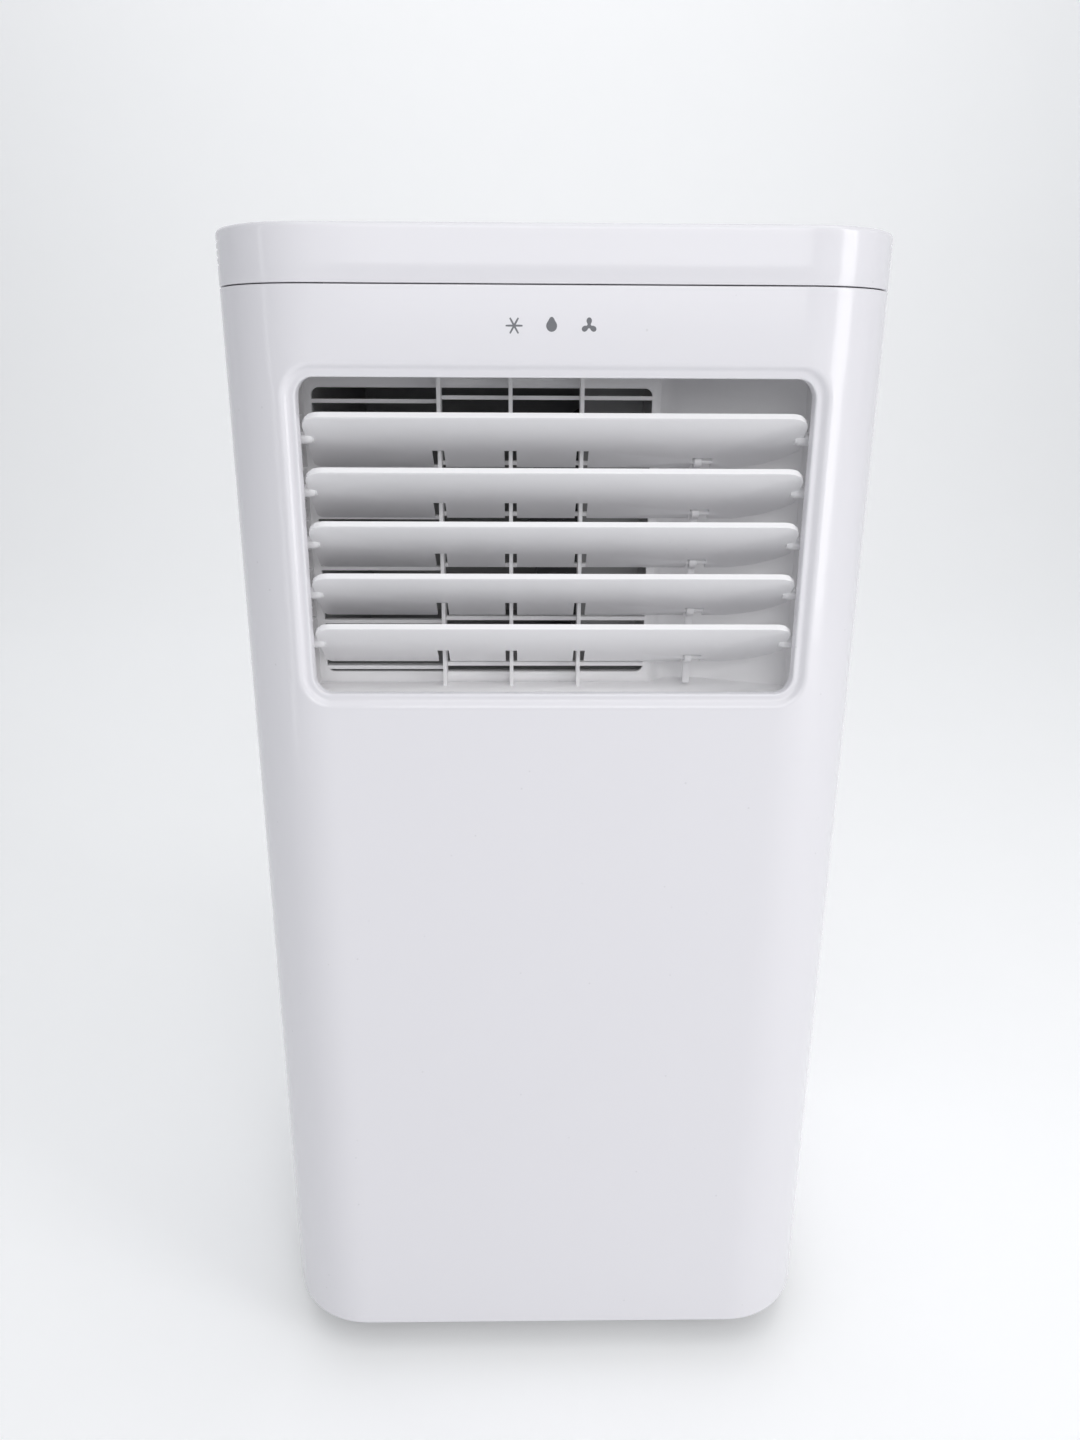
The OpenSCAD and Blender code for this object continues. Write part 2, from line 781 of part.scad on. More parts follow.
// Wheel with a cup for its motor: centre x z, outer radius r, from y_a to y_b
module fan_wheel(x, z, r, y_a, y_b, cup) {
    rim = 14;
    t = 2;
    hub_r = 8;
    cup_r = motor_r + 6;
    cup_y = y_a + cup;
    difference() {
        union() {
            y_cyl(x, z, r, y_a, y_a + t);
            y_cyl(x, z, cup_r, y_a, cup_y + t);
        }
        y_cyl(x, z, cup_r - t, y_a - 1, cup_y);
    }
    y_cyl(x, z, hub_r, cup_y - 8, cup_y + t + 4);
    y_cyl(x, z, 2.5, y_a - 3, cup_y);
    difference() {
        y_cyl(x, z, r, y_b - t, y_b);
        y_cyl(x, z, r - rim + 4, y_b - t - 1, y_b + 1);
    }
    for (i = [0 : vanes - 1]) translate([x, 0, z]) rotate([0, i * 360 / vanes, 0])
        translate([r - rim, y_a + t - eps, 0]) rotate([0, 25, 0])
            cube([rim - 3, y_b - y_a - 2 * t + 2 * eps, 1.4]);
}

// Motor on a plate at y_a
module fan_motor(x, z, y_a, len) {
    difference() {
        y_cyl(x, z, motor_r, y_a, y_a + len);
        y_cyl(x, z, 9, y_a - 1, y_a + len + 1);
    }
}

blower_cup = min(46, (air_y1 - air_y0) / 3);
cond_cup = min(26, (cond_y1 - cond_y0) / 3);

module blower_wheel() {
    color("darkslategray")
        fan_wheel(blower_x, blower_z, blower_r, air_y0 + scroll_t + 4, air_y1 - scroll_t - 5, blower_cup);
}

module blower_motor() {
    color("dimgray") fan_motor(blower_x, blower_z, air_y0 + scroll_t, blower_cup);
}

// Rows of tube in a coil between two heights, always even, and one row's height
function coil_rows(z_a, z_b) = 2 * floor((z_b - z_a - 14) / (2 * row_pitch));
function coil_row(z_a, i) = z_a + 13 + i * row_pitch;

// Fin pack with end plates and return bends
module coil(z_a, z_b) {
    end_t = 2;
    fin_t = 1;
    rows = coil_rows(z_a, z_b);
    fins = floor((2 * coil_x - 2 * end_t) / fin_pitch);
    tube_r = 4;
    color("silver") {
        for (s = [-1, 1]) block([s > 0 ? coil_x - end_t : -coil_x, coil_y0, z_a],
            [s > 0 ? coil_x : -coil_x + end_t, coil_y1, z_b]);
        for (i = [1 : fins - 1]) block([-coil_x + end_t + i * fin_pitch, coil_y0 + 1, z_a + 1],
            [-coil_x + end_t + i * fin_pitch + fin_t, coil_y1 - 1, z_b - 1]);
    }
    color("peru") for (i = [0 : rows - 1]) {
        z = coil_row(z_a, i);
        s = i % 2 == 0 ? 1 : -1;
        x_cyl(coil_y, z, tube_r, -coil_x - coil_end, coil_x + coil_end);
        if (i < rows - 1) translate([s * (coil_x + coil_end), coil_y, z + row_pitch / 2])
            rotate([90, 0, 0]) rotate([0, 0, s > 0 ? -90 : 90])
                rotate_extrude(angle = 180, $fn = 48) translate([row_pitch / 2, 0])
                    circle(tube_r, $fn = 24);
    }
}

module evaporator() {
    coil(evap_z0, evap_z1);
}

module drip_tray() {
    rim = 10;
    t = 2;
    color("gainsboro") difference() {
        translate([0, 0, deck_z]) linear_extrude(rim + deck_t) plan(wall + fit_gap + 3);
        translate([0, 0, deck_z + deck_t]) linear_extrude(rim + 1) plan(wall + fit_gap + 3 + t);
        translate([drain_x, coil_y0 - 14, deck_z - 1]) cylinder(r = 4, h = deck_t + 2, $fn = 32);
        for (p = [[line_x, suction_y], [hot_x, liquid_y]])
            translate([p[0], p[1], deck_z - 1]) cylinder(r = line_r + 1, h = deck_t + 2, $fn = 32);
    }
}

// ---- Rear cassette ----

module filter_frame() {
    bar = 3;
    rows = 11;
    g = fit_gap;
    pitch = (filter_z1 - filter_z0 - 16) / rows;
    color("white") difference() {
        block([-filter_x + g, y_rear - filter_t, filter_z0 + g], [filter_x - g, y_rear, filter_z1 - g]);
        block([-filter_x + 8, y_rear - filter_t - 1, filter_z0 + 8],
            [filter_x - 8, y_rear - 4, filter_z1 - 8]);
        for (i = [0 : rows - 1], j = [0 : 3]) translate([
            -filter_x + 8 + j * (2 * filter_x - 16) / 4 + bar / 2,
            y_rear - 5,
            filter_z0 + 8 + i * pitch + bar])
            cube([(2 * filter_x - 16) / 4 - bar, 6, pitch - bar]);
    }
}

module filter_mesh() {
    pitch = 12;
    t = 0.8;
    x_a = filter_x - 8;
    y_a = y_rear - filter_t + 1;
    color("darkslategray") {
        for (x = [-x_a + 2 : pitch : x_a - 2])
            block([x, y_a, filter_z0 + 8], [x + t, y_a + t, filter_z1 - 8]);
        for (z = [filter_z0 + 10 : pitch : filter_z1 - 10]) block([-x_a, y_a, z], [x_a, y_a + t, z + t]);
    }
}

// ---- Condenser side ----

module condenser() {
    coil(cond_z0, cond_coil_top);
}

// Outline of the lower scroll: a round part and a run up to the exhaust duct
module cond_outline(g) {
    circle(cond_r2 + g, $fn = 96);
    translate([-cond_r2 - g, 0]) square([cond_r2 + g, duct_z0 - cond_z]);
}

module condenser_scroll() {
    t = scroll_t;
    color("gainsboro") translate([cond_x, cond_y1, cond_z]) rotate([90, 0, 0]) difference() {
        linear_extrude(cond_y1 - cond_y0) cond_outline(t);
        translate([0, 0, t]) linear_extrude(cond_y1 - cond_y0 - 2 * t) cond_outline(0);
        translate([0, 0, -1]) cylinder(r = cond_wheel_r - 12, h = t + 2, $fn = 64);
        translate([0, 0, cond_y1 - cond_y0 - t - 1]) cylinder(r = 3, h = t + 2, $fn = 32);
        translate([-cond_r2, cond_r2 - 4, t])
            cube([cond_r2 - t, 20, cond_y1 - cond_y0 - 2 * t]);
    }
}

module condenser_wheel() {
    color("darkslategray")
        fan_wheel(cond_x, cond_z, cond_wheel_r, cond_y0 + scroll_t + 4, cond_y1 - scroll_t - 5, cond_cup);
}

module condenser_motor() {
    color("dimgray") fan_motor(cond_x, cond_z, cond_y0 + scroll_t, cond_cup);
}

module exhaust_duct() {
    t = scroll_t;
    color("gainsboro") difference() {
        block([-duct_x - t, duct_y0, duct_z0], [duct_x + t, collar_y0, duct_z1]);
        block([-duct_x, duct_y0 + t, duct_z0 + t], [duct_x, collar_y0 - t, duct_z1 - t]);
        block([max(-duct_x, cond_x - cond_r2), cond_y0 + 2 * t, duct_z0 - 1],
            [min(duct_x, cond_x) - t, cond_y1 - t, duct_z0 + t + 1]);
        y_cyl(0, collar_z, collar_r, collar_y0 - t - 1, collar_y0 + 1);
    }
}

module exhaust_collar() {
    color("white") difference() {
        union() {
            y_cyl(0, collar_z, collar_r + collar_wall, collar_y0, y_rear - 0.5);
            y_cyl(0, collar_z, collar_r + collar_wall + 5, y_rear - 7 - collar_flange, y_rear - 7);
        }
        y_cyl(0, collar_z, collar_r, collar_y0 - 1, y_rear + 1);
    }
}

module compressor() {
    can_t = 7;
    dome = 14;
    color("black") {
        translate([comp_x, comp_y, comp_z]) rotate_extrude($fn = 96) difference() {
            union() {
                square([comp_r, comp_h - dome]);
                square([comp_r - dome, comp_h]);
                translate([comp_r - dome, comp_h - dome]) intersection() {
                    circle(dome, $fn = 48);
                    square(dome);
                }
            }
            translate([-eps, can_t]) square([comp_r - can_t + eps, comp_h - dome - can_t]);
        }
        difference() {
            translate([comp_x, comp_y, comp_z - 3]) for (a = [90, 210, 330]) rotate(a) {
                translate([0, -14, 0]) cube([foot_r, 28, 3]);
                translate([foot_r, 0, 0]) cylinder(r = 14, h = 3, $fn = 48);
            }
            translate([comp_x, comp_y, comp_z - 4]) for (a = [90, 210, 330]) rotate(a)
                translate([foot_r, 0, 0]) cylinder(r = 4, h = 5, $fn = 32);
        }
    }
}

module compressor_grommets() {
    color("dimgray") translate([comp_x, comp_y, z0 + 20]) for (a = [90, 210, 330]) rotate(a)
        translate([foot_r, 0, 0]) difference() {
            cylinder(r = 8.5, h = 14, $fn = 48);
            translate([0, 0, -1]) cylinder(r = 3.5, h = 16, $fn = 32);
        }
}

module accumulator() {
    color("black") {
        difference() {
            translate([acc_x, acc_y, acc_z]) cylinder(r = acc_r, h = acc_h, $fn = 64);
            translate([acc_x, acc_y, acc_z + 3]) cylinder(r = acc_r - 3, h = acc_h - 6, $fn = 64);
        }
        dir = [comp_x - acc_x, comp_y - acc_y, 0];
        reach = 1 - (comp_r + 0.3) / norm(dir);
        pipe([[acc_x, acc_y, acc_z], [acc_x, acc_y, acc_z - 10],
            [acc_x, acc_y, acc_z - 10] + dir * reach], line_r);
    }
}

module suction_line() {
    z_row = coil_row(evap_z0, 0);
    color("peru") pipe([
        [acc_x, acc_y, acc_z + acc_h],
        [acc_x, acc_y, cold_z],
        [line_x, acc_y, cold_z],
        [line_x, suction_y, cold_z],
        [line_x, suction_y, z_row],
        [line_x, coil_y, z_row],
        [-coil_x - coil_end, coil_y, z_row]
    ], line_r);
}

module discharge_line() {
    z_row = coil_row(cond_z0, coil_rows(cond_z0, cond_coil_top) - 1);
    color("peru") pipe([
        [comp_x, comp_y, comp_top],
        [comp_x, comp_y, hot_z],
        [hot_x, comp_y, hot_z],
        [hot_x, coil_y, hot_z],
        [line_x, coil_y, hot_z],
        [line_x, coil_y, z_row],
        [-coil_x - coil_end, coil_y, z_row]
    ], small_r);
}

module filter_drier() {
    color("peru") translate([line_x, liquid_y, drier_z]) cylinder(r = drier_r, h = drier_h, $fn = 48);
}

module liquid_line() {
    z_low = coil_row(cond_z0, 0);
    z_high = coil_row(evap_z0, coil_rows(evap_z0, evap_z1) - 1);
    color("peru") {
        pipe([
            [-coil_x - coil_end, coil_y, z_low],
            [line_x, coil_y, z_low],
            [line_x, liquid_y, z_low],
            [line_x, liquid_y, drier_z]
        ], small_r);
        pipe([
            [line_x, liquid_y, drier_z + drier_h],
            [line_x, liquid_y, jog_z],
            [hot_x, liquid_y, jog_z],
            [hot_x, liquid_y, z_high],
            [line_x, liquid_y, z_high],
            [line_x, coil_y, z_high],
            [-coil_x - coil_end, coil_y, z_high]
        ], small_r);
    }
}

// ---- Electrics ----

module electric_box() {
    t = 1.5;
    color("silver") difference() {
        block([box_x1 - box_w, box_y0, box_z1 - box_h], [box_x1, box_y0 + box_d, box_z1]);
        block([box_x1 - box_w + t, box_y0 + t, box_z1 - box_h + t],
            [box_x1 - t, box_y0 + box_d - t, box_z1 - t]);
    }
}

module control_board() {
    x_a = box_x1 - box_w + 6;
    x_b = box_x1 - 6;
    y_a = box_y0 + 8;
    z_a = box_z1 - box_h + 6;
    color("darkgreen") {
        block([x_a, y_a, z_a], [x_b, y_a + 1.6, box_z1 - 6]);
        for (i = [0 : 2])
            block([x_a + 6 + i * 22, y_a + 1.6, z_a + 8], [x_a + 20 + i * 22, y_a + 16, z_a + 26]);
        block([x_a + 8, y_a + 1.6, z_a + 38], [x_a + 44, y_a + 30, z_a + 70]);
    }
}

module run_capacitor() {
    color("silver") translate([box_x1 - box_w - cap_r - 6, box_y0 + cap_r + 6, box_z1 - 80])
        cylinder(r = cap_r, h = 80, $fn = 64);
}

// ---- Drains and cord inlet ----

module drain_tube() {
    tube_r = 5;
    y_a = coil_y0 - 14;
    color("lightgray") difference() {
        pipe([[drain_x, y_a, deck_z], [drain_x, y_a, drain_up_z],
            [drain_x, y_rear - wall, drain_up_z]], tube_r);
        pipe([[drain_x, y_a, deck_z + 1], [drain_x, y_a, drain_up_z],
            [drain_x, y_rear, drain_up_z]], tube_r - 1.5);
    }
}

// Rubber plug in a drain port at height z
module drain_plug(z) {
    difference() {
        union() {
            y_cyl(drain_x, z, drain_r - 0.3, y_rear - wall + 0.4, y_rear - 0.6);
            y_cyl(drain_x, z, drain_r - 3, y_rear - 2, y_rear);
        }
        y_cyl(drain_x, z, 2, y_rear - 1.4, y_rear + 1);
    }
}

module drain_plug_upper() {
    color("dimgray") drain_plug(drain_up_z);
}

module drain_plug_lower() {
    color("dimgray") drain_plug(drain_low_z);
}

module cord_grommet() {
    color("dimgray") difference() {
        union() {
            y_cyl(gland_x, gland_z, gland_r + 3, y_rear - wall, y_rear);
            y_cyl(gland_x, gland_z, gland_r + 6, y_rear - wall - 4, y_rear - wall);
        }
        y_cyl(gland_x, gland_z, gland_r, y_rear - 20, y_rear + 1);
    }
}

// ---- Casters ----

module caster_fork(sx, sy) {
    hub_r = 6;
    color("dimgray") translate([sx * caster_x, sy * caster_y, 0]) {
        translate([0, 0, disc_z + disc_t]) cylinder(r = stem_r, h = stem_h, $fn = 48);
        translate([0, 0, disc_z]) cylinder(r = disc_r, h = disc_t, $fn = 64);
        difference() {
            union() {
                block([-fork_t / 2, trail - hub_r, wheel_r], [fork_t / 2, trail + hub_r, disc_z + eps]);
                x_cyl(trail, wheel_r, hub_r, -fork_t / 2, fork_t / 2);
            }
            x_cyl(trail, wheel_r, axle_r + run_gap, -fork_t, fork_t);
        }
    }
}

module caster_wheels(sx, sy) {
    inner = fork_t / 2 + wheel_gap_x;
    color("black") translate([sx * caster_x, sy * caster_y, 0]) {
        for (s = [-1, 1]) difference() {
            x_cyl(trail, wheel_r, wheel_r, s > 0 ? inner : -inner - wheel_w,
                s > 0 ? inner + wheel_w : -inner);
            x_cyl(trail, wheel_r, wheel_r - 4, s > 0 ? inner + wheel_w - 2 : -inner - wheel_w - 1,
                s > 0 ? inner + wheel_w + 1 : -inner - wheel_w + 2);
        }
        x_cyl(trail, wheel_r, axle_r, -inner - wheel_w, inner + wheel_w);
    }
}

module caster_fork_fl() {
    caster_fork(-1, -1);
}

module caster_fork_fr() {
    caster_fork(1, -1);
}

module caster_fork_rl() {
    caster_fork(-1, 1);
}

module caster_fork_rr() {
    caster_fork(1, 1);
}

module caster_wheels_fl() {
    caster_wheels(-1, -1);
}

module caster_wheels_fr() {
    caster_wheels(1, -1);
}

module caster_wheels_rl() {
    caster_wheels(-1, 1);
}

module caster_wheels_rr() {
    caster_wheels(1, 1);
}

base_pan();
front_panel();
rear_shell();
top_cover();
grip_left();
grip_right();
control_panel();
display_window();
button_power();
button_mode();
button_speed();
button_timer();
button_up();
button_down();
front_mark();
outlet_liner();
outlet_grille();
louvre_1();
louvre_2();
louvre_3();
louvre_4();
louvre_5();
tie_bar();
blower_cover();
blower_scroll();
blower_wheel();
blower_motor();
evaporator();
drip_tray();
filter_frame();
filter_mesh();
condenser();
condenser_scroll();
condenser_wheel();
condenser_motor();
exhaust_duct();
exhaust_collar();
compressor();
accumulator();
compressor_grommets();
suction_line();
discharge_line();
liquid_line();
filter_drier();
electric_box();
control_board();
run_capacitor();
drain_tube();
drain_plug_upper();
drain_plug_lower();
cord_grommet();
case_screws();
caster_fork_fl();
caster_fork_fr();
caster_fork_rl();
caster_fork_rr();
caster_wheels_fl();
caster_wheels_fr();
caster_wheels_rl();
caster_wheels_rr();
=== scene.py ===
"""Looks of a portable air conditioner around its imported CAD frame. Metres, +Z up, front at -Y."""
import json
import math

import bmesh
import bpy
import numpy as np
from mathutils import Matrix, Vector, geometry


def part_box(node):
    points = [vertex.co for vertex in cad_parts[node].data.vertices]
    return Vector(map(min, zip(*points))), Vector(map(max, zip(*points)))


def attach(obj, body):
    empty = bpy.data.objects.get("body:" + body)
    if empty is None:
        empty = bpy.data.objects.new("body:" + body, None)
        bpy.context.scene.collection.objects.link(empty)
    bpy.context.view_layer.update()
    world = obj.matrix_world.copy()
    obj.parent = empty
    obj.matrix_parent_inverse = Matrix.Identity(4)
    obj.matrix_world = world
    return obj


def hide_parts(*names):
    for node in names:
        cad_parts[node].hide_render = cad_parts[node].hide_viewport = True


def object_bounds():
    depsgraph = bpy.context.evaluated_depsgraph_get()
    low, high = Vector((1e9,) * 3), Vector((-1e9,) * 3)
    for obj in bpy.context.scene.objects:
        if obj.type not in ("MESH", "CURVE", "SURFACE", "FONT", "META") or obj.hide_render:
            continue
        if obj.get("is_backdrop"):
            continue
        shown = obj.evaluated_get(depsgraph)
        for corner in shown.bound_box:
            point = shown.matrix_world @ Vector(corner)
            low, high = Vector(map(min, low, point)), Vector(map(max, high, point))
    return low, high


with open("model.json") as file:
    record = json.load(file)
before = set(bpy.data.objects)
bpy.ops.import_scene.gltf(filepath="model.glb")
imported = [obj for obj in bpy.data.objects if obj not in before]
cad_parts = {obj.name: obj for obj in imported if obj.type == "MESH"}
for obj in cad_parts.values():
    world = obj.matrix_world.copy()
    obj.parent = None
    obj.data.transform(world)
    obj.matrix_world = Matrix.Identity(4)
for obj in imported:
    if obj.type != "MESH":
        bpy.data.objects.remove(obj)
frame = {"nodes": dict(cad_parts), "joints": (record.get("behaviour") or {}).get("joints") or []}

MM = 0.001
cad_low, cad_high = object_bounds()

# ---- Sizes: read from the frame where it has them, else the CAD's own values ----

nodes = frame["nodes"]
joints = {j["name"]: j for j in frame["joints"]}
panel_low, panel_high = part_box("front_panel")
cover_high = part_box("top_cover")[1]
rear_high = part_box("rear_shell")[1]
liner_low, liner_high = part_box("outlet_liner")
fascia_low, fascia_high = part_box("control_panel")
display_low, display_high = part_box("display_window")
filter_low, filter_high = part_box("filter_frame")
collar_low, collar_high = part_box("exhaust_collar")

HALF_W = panel_high.x
Y_FRONT = panel_low.y
Y_REAR = rear_high.y
Z0 = panel_low.z
SHELL_TOP = panel_high.z
Z_TOP = cover_high.z
SEAM = 1.0 * MM
Z_SEAM = SHELL_TOP + SEAM
WALL = 2.5 * MM
FRONT_R = 52 * MM
REAR_R = 40 * MM
Y_SPLIT = panel_high.y

LINER_T = 2 * MM
FLOOR_Z = liner_low.z + LINER_T
CEILING_Z = liner_high.z - LINER_T
OUT_Z1 = CEILING_Z - 0.6 * MM
OUT_Z0 = FLOOR_Z + 5.7 * MM
OUT_X = 128 * MM
OUT_R = 10 * MM
LINER_X = 131.5 * MM
BLADES = 5
BLADE_X = LINER_X - 5.5 * MM

SMOOTH_DEGREES = 35
BEVEL_ANGLE = math.radians(40)
WELD_GAP = 0.002 * MM
LEAST_RADIUS = 0.02 * MM
ROUND_SHARE = 0.45


def pivot(k):
    """Pivot point of louvre k, counted from 0 at the top."""
    return Vector(joints[f"louvre_{k + 1}_tilt"]["pos_m"])


# ---- Mesh tools ----

def new_object(name, verts, faces):
    mesh = bpy.data.meshes.new(name)
    mesh.from_pydata([tuple(v) for v in verts], [], faces)
    obj = bpy.data.objects.new(name, mesh)
    bpy.context.scene.collection.objects.link(obj)
    return obj


def sharpen(obj):
    """Keeps the edges above the smoothing angle sharp."""
    obj.data.set_sharp_from_angle(angle=math.radians(SMOOTH_DEGREES))


def smooth(obj):
    """Shades an object smooth up to the smoothing angle."""
    obj.data.shade_smooth()
    sharpen(obj)


def bevel(obj, width, segments):
    """Adds a bevel modifier that rounds the edges above the bevel angle."""
    m = obj.modifiers.new("edges", "BEVEL")
    m.width = width
    m.segments = segments
    m.limit_method = "ANGLE"
    m.angle_limit = BEVEL_ANGLE
    return m


def tidy(obj, merge=1e-6):
    """Joins doubled vertices, turns every face outwards and shades the object smooth."""
    bm = bmesh.new()
    bm.from_mesh(obj.data)
    if merge:
        bmesh.ops.remove_doubles(bm, verts=bm.verts, dist=merge)
    bmesh.ops.recalc_face_normals(bm, faces=bm.faces)
    bm.to_mesh(obj.data)
    bm.free()
    smooth(obj)
    return obj


def apply_modifiers(obj):
    """Replaces an object's mesh with its evaluated one."""
    bpy.context.view_layer.update()
    graph = bpy.context.evaluated_depsgraph_get()
    mesh = bpy.data.meshes.new_from_object(obj.evaluated_get(graph))
    obj.modifiers.clear()
    obj.data = mesh
    return obj


def boolean(obj, other, operation):
    """Exact union with, or cut by, another object, which is then deleted."""
    m = obj.modifiers.new("boolean", "BOOLEAN")
    m.operation = operation
    m.solver = "EXACT"
    m.object = other
    apply_modifiers(obj)
    bpy.data.objects.remove(other)
    return obj


def join(obj, *others):
    """Adds the meshes of other objects to obj."""
    bm = bmesh.new()
    bm.from_mesh(obj.data)
    for o in others:
        bpy.context.view_layer.update()
        o.data.transform(o.matrix_world)
        bm.from_mesh(o.data)
        bpy.data.objects.remove(o)
    bm.to_mesh(obj.data)
    bm.free()
    return obj


def round_rect(cx, cy, w, h, radii, steps=8, run=1):
    """Anticlockwise outline as a function of outward offset. radii: one for all corners, or
    lower right, upper right, upper left, lower left. run: pieces per straight side."""
    if not hasattr(radii, "__len__"):
        radii = [radii] * 4

    def outline(offset=0.0):
        points = []
        hw, hh = w / 2 + offset, h / 2 + offset
        for i, (sx, sy) in enumerate([(1, -1), (1, 1), (-1, 1), (-1, -1)]):
            r = max(radii[i] + offset, LEAST_RADIUS)
            ax, ay = cx + sx * (hw - r), cy + sy * (hh - r)
            start = (i - 1) * math.pi / 2
            turns = [start + a * math.pi / 2 / steps for a in range(steps + 1)]
            arc = [(ax + r * math.cos(a), ay + r * math.sin(a)) for a in turns]
            if points:
                points += cut_line(points[-1], arc[0], run)
            points += arc
        points += cut_line(points[-1], points[0], run)
        return points

    return outline


def cut_line(a, b, pieces):
    """Points inside the line a-b that cut it into equal pieces."""
    return [(a[0] + (b[0] - a[0]) * i / pieces, a[1] + (b[1] - a[1]) * i / pieces)
            for i in range(1, pieces)]


def inside(points, polygon):
    """Which of the points lie inside the polygon."""
    p = np.asarray(points, float)
    q = np.asarray(polygon, float)
    result = np.zeros(len(p), bool)
    for (x1, y1), (x2, y2) in zip(q, np.roll(q, -1, 0)):
        if y1 == y2:
            continue
        crosses = (y1 > p[:, 1]) != (y2 > p[:, 1])
        result ^= crosses & (p[:, 0] < (x2 - x1) * (p[:, 1] - y1) / (y2 - y1) + x1)
    return result


def fill(rim, holes, lattice):
    """Triangles between the rim, the holes and the lattice points, as indices into their list."""
    points = list(rim)
    edges = [(i, (i + 1) % len(rim)) for i in range(len(rim))]
    for hole in holes:
        n = len(points)
        edges += [(n + i, n + (i + 1) % len(hole)) for i in range(len(hole))]
        points += hole
    points += lattice
    out = geometry.delaunay_2d_cdt([Vector(p) for p in points], edges, [], 0, 1e-7)
    corners = [[out[3][v][0] for v in face] for face in out[2]]
    centres = [np.mean([points[v] for v in face], axis=0) for face in corners]
    keep = inside(centres, rim)
    for hole in holes:
        keep &= ~inside(centres, hole)
    return [face for face, ok in zip(corners, keep) if ok]


def clear_lattice(lattice, rim, holes):
    """The lattice points inside the rim and outside every hole."""
    if not lattice:
        return []
    keep = inside(lattice, rim)
    for hole in holes:
        keep &= ~inside(lattice, hole)
    return [p for p, ok in zip(lattice, keep) if ok]


def plate(name, rim, holes, front, back, lattice=(), margin=1.5 * MM):
    """Closed plate. rim and each hole are lists of loops, each (uv points, xyz points), from
    the front face to the back face. front and back place a uv point on those faces."""
    verts, faces = [], []

    def side(loop_index, place):
        """Fills the front (loop 0) or the back (the last loop)."""
        uv_rim = rim[loop_index][0]
        uv_holes = [h[loop_index][0] for h in holes]
        grown = [grow(h, margin) for h in uv_holes]
        free = clear_lattice(list(lattice), grow(uv_rim, -margin), grown)
        start = len(verts)
        verts.extend(place(u, v) for u, v in free)
        order = ids[0][loop_index] + [i for h in ids[1:] for i in h[loop_index]]
        order += list(range(start, len(verts)))
        for face in fill(uv_rim, uv_holes, free):
            faces.append([order[i] for i in face])

    ids = []
    for loops in [rim] + holes:
        rows = []
        for uv, xyz in loops:
            rows.append(list(range(len(verts), len(verts) + len(xyz))))
            verts.extend(xyz)
        for a, b in zip(rows, rows[1:]):
            n = len(a)
            faces.extend([a[i], a[(i + 1) % n], b[(i + 1) % n], b[i]] for i in range(n))
        ids.append(rows)
    side(0, front)
    side(-1, back)
    return new_object(name, verts, faces)


def grow(polygon, distance):
    """A convex outline pushed outwards from its middle by about a distance."""
    p = np.asarray(polygon, float)
    low, high = p.min(0), p.max(0)
    middle, half = (low + high) / 2, (high - low) / 2
    scale = 1 + distance / np.maximum(half, 1e-6)
    return [tuple(q) for q in middle + (p - middle) * scale]


def arc_profile(radius, depth, steps=3):
    """(offset, depth) pairs of an edge with both corners rounded, for a hole's outward offset."""
    pairs = []
    for i in range(steps + 1):
        a = i * math.pi / 2 / steps
        pairs.append((radius * (1 - math.sin(a)), radius * (1 - math.cos(a))))
    for i in range(steps + 1):
        a = i * math.pi / 2 / steps
        pairs.append((radius * (1 - math.cos(a)), depth - radius * (1 - math.sin(a))))
    return pairs


def loops(outline, profile, place, sign=1):
    """Loops of an outline along a profile; sign is 1 for a hole and -1 for a rim."""
    result = []
    for offset, depth in profile:
        uv = outline(sign * offset)
        result.append((uv, [place(u, v, depth) for u, v in uv]))
    return result


def box_mesh(name, low, high, radius=0.4 * MM, steps=2):
    """Box with rounded edges."""
    bm = bmesh.new()
    bmesh.ops.create_cube(bm, size=1)
    size = Vector(high) - Vector(low)
    middle = (Vector(high) + Vector(low)) / 2
    for v in bm.verts:
        v.co = Vector((v.co.x * size.x, v.co.y * size.y, v.co.z * size.z)) + middle
    radius = min(radius, ROUND_SHARE * min(size))
    bmesh.ops.bevel(bm, geom=bm.edges, offset=radius, segments=steps, affect="EDGES",
                    profile=0.5)
    mesh = bpy.data.meshes.new(name)
    bm.to_mesh(mesh)
    bm.free()
    obj = bpy.data.objects.new(name, mesh)
    bpy.context.scene.collection.objects.link(obj)
    return tidy(obj)


def lathe(name, profile, centre, axis="y", steps=64):
    """Closed ring of a (radius, distance along the axis) outline turned about an axis."""
    verts, faces = [], []
    n = len(profile)
    for s in range(steps):
        a = 2 * math.pi * s / steps
        for r, d in profile:
            c, k = r * math.cos(a), r * math.sin(a)
            p = {"x": (d, c, k), "y": (k, d, c), "z": (c, k, d)}[axis]
            verts.append(Vector(p) + Vector(centre))
    for s in range(steps):
        t = (s + 1) % steps
        for i in range(n):
            j = (i + 1) % n
            faces.append([s * n + i, s * n + j, t * n + j, t * n + i])
    obj = new_object(name, verts, faces)
    return tidy(obj, merge=1e-7)


def rounded_profile(points, radius, steps=3):
    """A closed polygon in (radius, distance) with each corner rounded."""
    result = []
    n = len(points)
    for i in range(n):
        p, a, b = Vector(points[i]), Vector(points[i - 1]), Vector(points[(i + 1) % n])
        r = min(radius, ROUND_SHARE * (a - p).length, ROUND_SHARE * (b - p).length)
        start, end = p + (a - p).normalized() * r, p + (b - p).normalized() * r
        for k in range(steps + 1):
            t = k / steps
            q = start * (1 - t) ** 2 + p * 2 * t * (1 - t) + end * t ** 2
            result.append((q.x, q.y))
    return result


